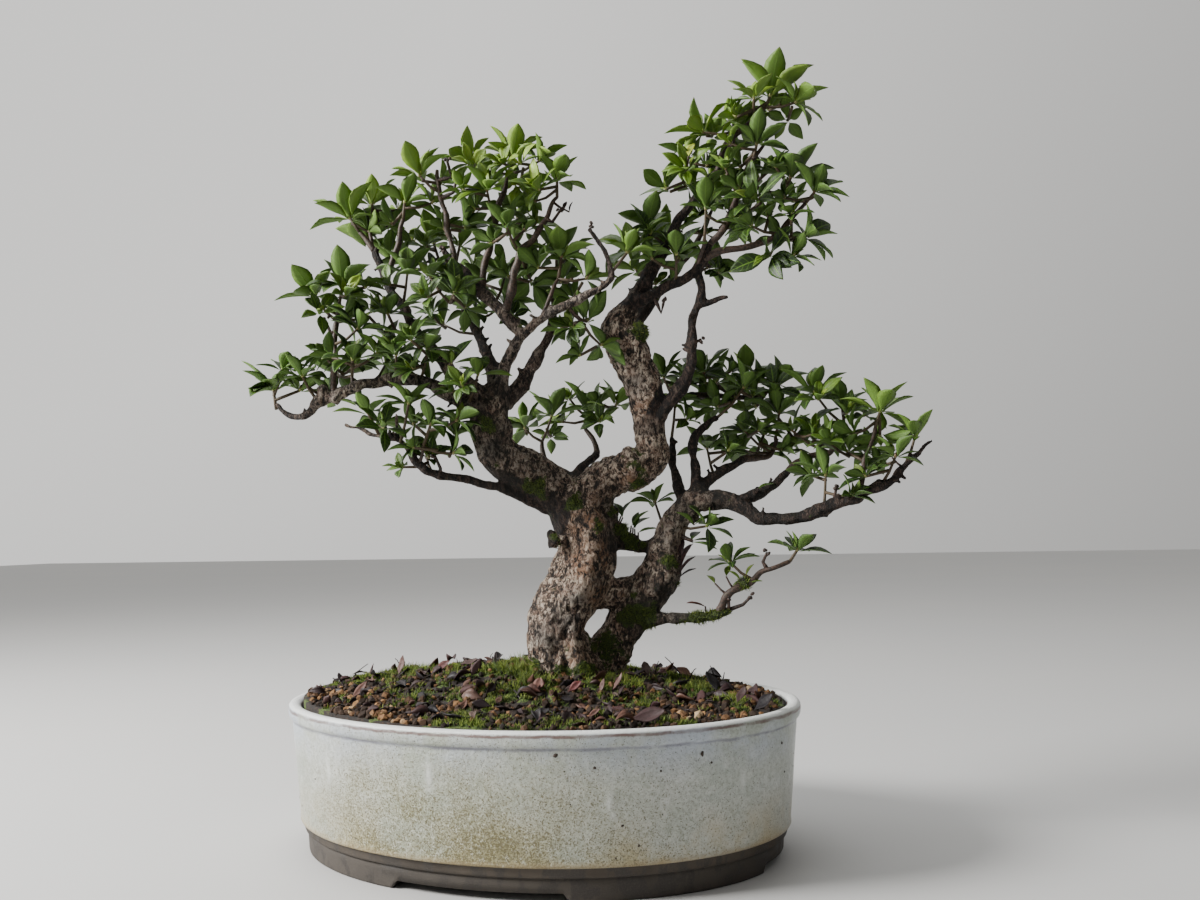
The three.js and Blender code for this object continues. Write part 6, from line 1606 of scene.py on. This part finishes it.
def makeTwig(bundle, tip, bow, seats, dice):
    # a dead twig from the nearest wood, with dry seed pods at its tip
    foot = nearestWood(bow, seats)
    line = [(foot, 1.3), (foot * 0.4 + bow * 0.6, 1.15), (bow, 1.0),
            (tip * 0.6 + bow * 0.4, 0.85), (tip, 0.8)]
    addTo(bundle, *tube(line, 9), 1)
    for _ in range(strays["pods"]):
        pod = lumpCorners * dice.uniform(0.8, 1.2, 3) * (1, 1, 1.5) @ anyTurn(dice).T
        addTo(bundle, pod + tip + dice.normal(size=3) * 0.8, [], lumpFaces, 1)


def nearestWood(point, seats):
    return min(seats, key=lambda seat: np.linalg.norm(seat - point))


def makeStrays(finishes, dice):
    routes = list(limbs.values()) + [stem for spray in sprays.values() for stem in spray.get("stems", [])]
    seats = [point for route in routes for point, radius in stationsAlong(route, 6)]
    bundle = newBundle("leafAlong", "leafAcross", "leafUnder", "leafTone", "leafAge", "young", "tone", "red")
    for tip, bow in strays["twigs"]:
        makeTwig(bundle, turned(tip), turned(bow), seats, dice)
    for *place, length, turn, rise, tone, age, dry in strays["leaves"]:
        root = turned(place)
        way = heading(math.radians(turn) + treeTurn, math.radians(rise))
        across = unit(np.cross(up, way))
        face = np.cross(way, across)
        foot = nearestWood(root, seats)
        addTo(bundle, *tube([(foot, 0.8), (foot * 0.5 + root * 0.5 - up * 0.5, 0.6), (root, 0.5)], 6), 1)
        points = bladePoints(root, root + way * length * 0.5 + face * length * 0.05, root + way * length,
                             across, face, length, 0.4, 0.04, 0.2)
        addTo(bundle, points, bladeQuads, bladeTris, 3 if dry else 0, leafTone=tone, leafAge=age, tone=tone,
              red=0.4 * dry * tone, **bladeLooks)
    makePiece("strayTwigs", bundle, finishes + [deadLeaf])


makeStrays(finishes, np.random.default_rng(strays["seed"]))
print("strays made")

# floor and light

studio = {"floorWidth": 12.0, "floorGrey": 0.5, "aim": (0, 0, 0.2),
          # name, size, power, place and tint of the lights
          "lights": [("keyLight", 0.6, 72, (-1.3, -0.7, 0.95), (1.0, 0.985, 0.96)),
                     ("topLight", 1.2, 11, (-0.3, 0.2, 1.7), (0.98, 0.99, 1.0))],
          # the room is brighter on the left, behind and above
          "brightSide": (-0.72, 0.42, 0.55), "falloff": 2.2, "dimmest": 0.16, "brightest": 1.06,
          "roomTint": (1.0, 0.99, 0.965)}


def makeFloorFinish():
    use = Finish("studioFloor")
    grey = studio["floorGrey"]
    colour = use.blend(use.blotches(1.5, 2.0, 0.3, 0.7), (grey, grey, grey * 0.99),
                       (grey * 1.04, grey * 1.03, grey * 1.01))
    return use.done(colour, 0.7)


def makeFloor():
    mesh = bpy.data.meshes.new("floor")
    half, low = studio["floorWidth"] / 2, cadBox[0][2]
    corners = [(-half, -half, low), (half, -half, low), (half, half, low), (-half, half, low)]
    mesh.from_pydata(corners, [], [(0, 1, 2, 3)])
    mesh.materials.append(makeFloorFinish())
    floor = bpy.data.objects.new("floor", mesh)
    bpy.context.scene.collection.objects.link(floor)


def addLight(name, size, power, place, tint):
    light = bpy.data.lights.new(name, "AREA")
    light.shape, light.size, light.energy, light.color = "DISK", size, power, tint
    lamp = bpy.data.objects.new(name, light)
    place = np.array(place)
    back = unit(place - np.array(studio["aim"]))
    right = unit(np.cross((0, 0, 1), back))
    top = np.cross(back, right)
    lamp.matrix_world = matrixOf([right, top, back, place])
    bpy.context.scene.collection.objects.link(lamp)


def makeRoom():
    world = bpy.data.worlds.new("studio")
    world.use_nodes = True
    use = Nodes(world.node_tree)
    facing = use.add("VectorMath", {0: use.add("TexCoord").outputs["Generated"], 1: studio["brightSide"]},
                     operation="DOT_PRODUCT").outputs["Value"]
    glow = use.math("POWER", use.band(facing, -0.9, 0.9), studio["falloff"])
    glow = use.band(glow, 0.0, 1.0, studio["dimmest"], studio["brightest"])
    use.fill(world.node_tree.nodes["Background"],
             {"Color": use.blend(glow, (0.0, 0.0, 0.0), studio["roomTint"]), "Strength": 1.0})
    bpy.context.scene.world = world


makeFloor()
for light in studio["lights"]:
    addLight(*light)
makeRoom()
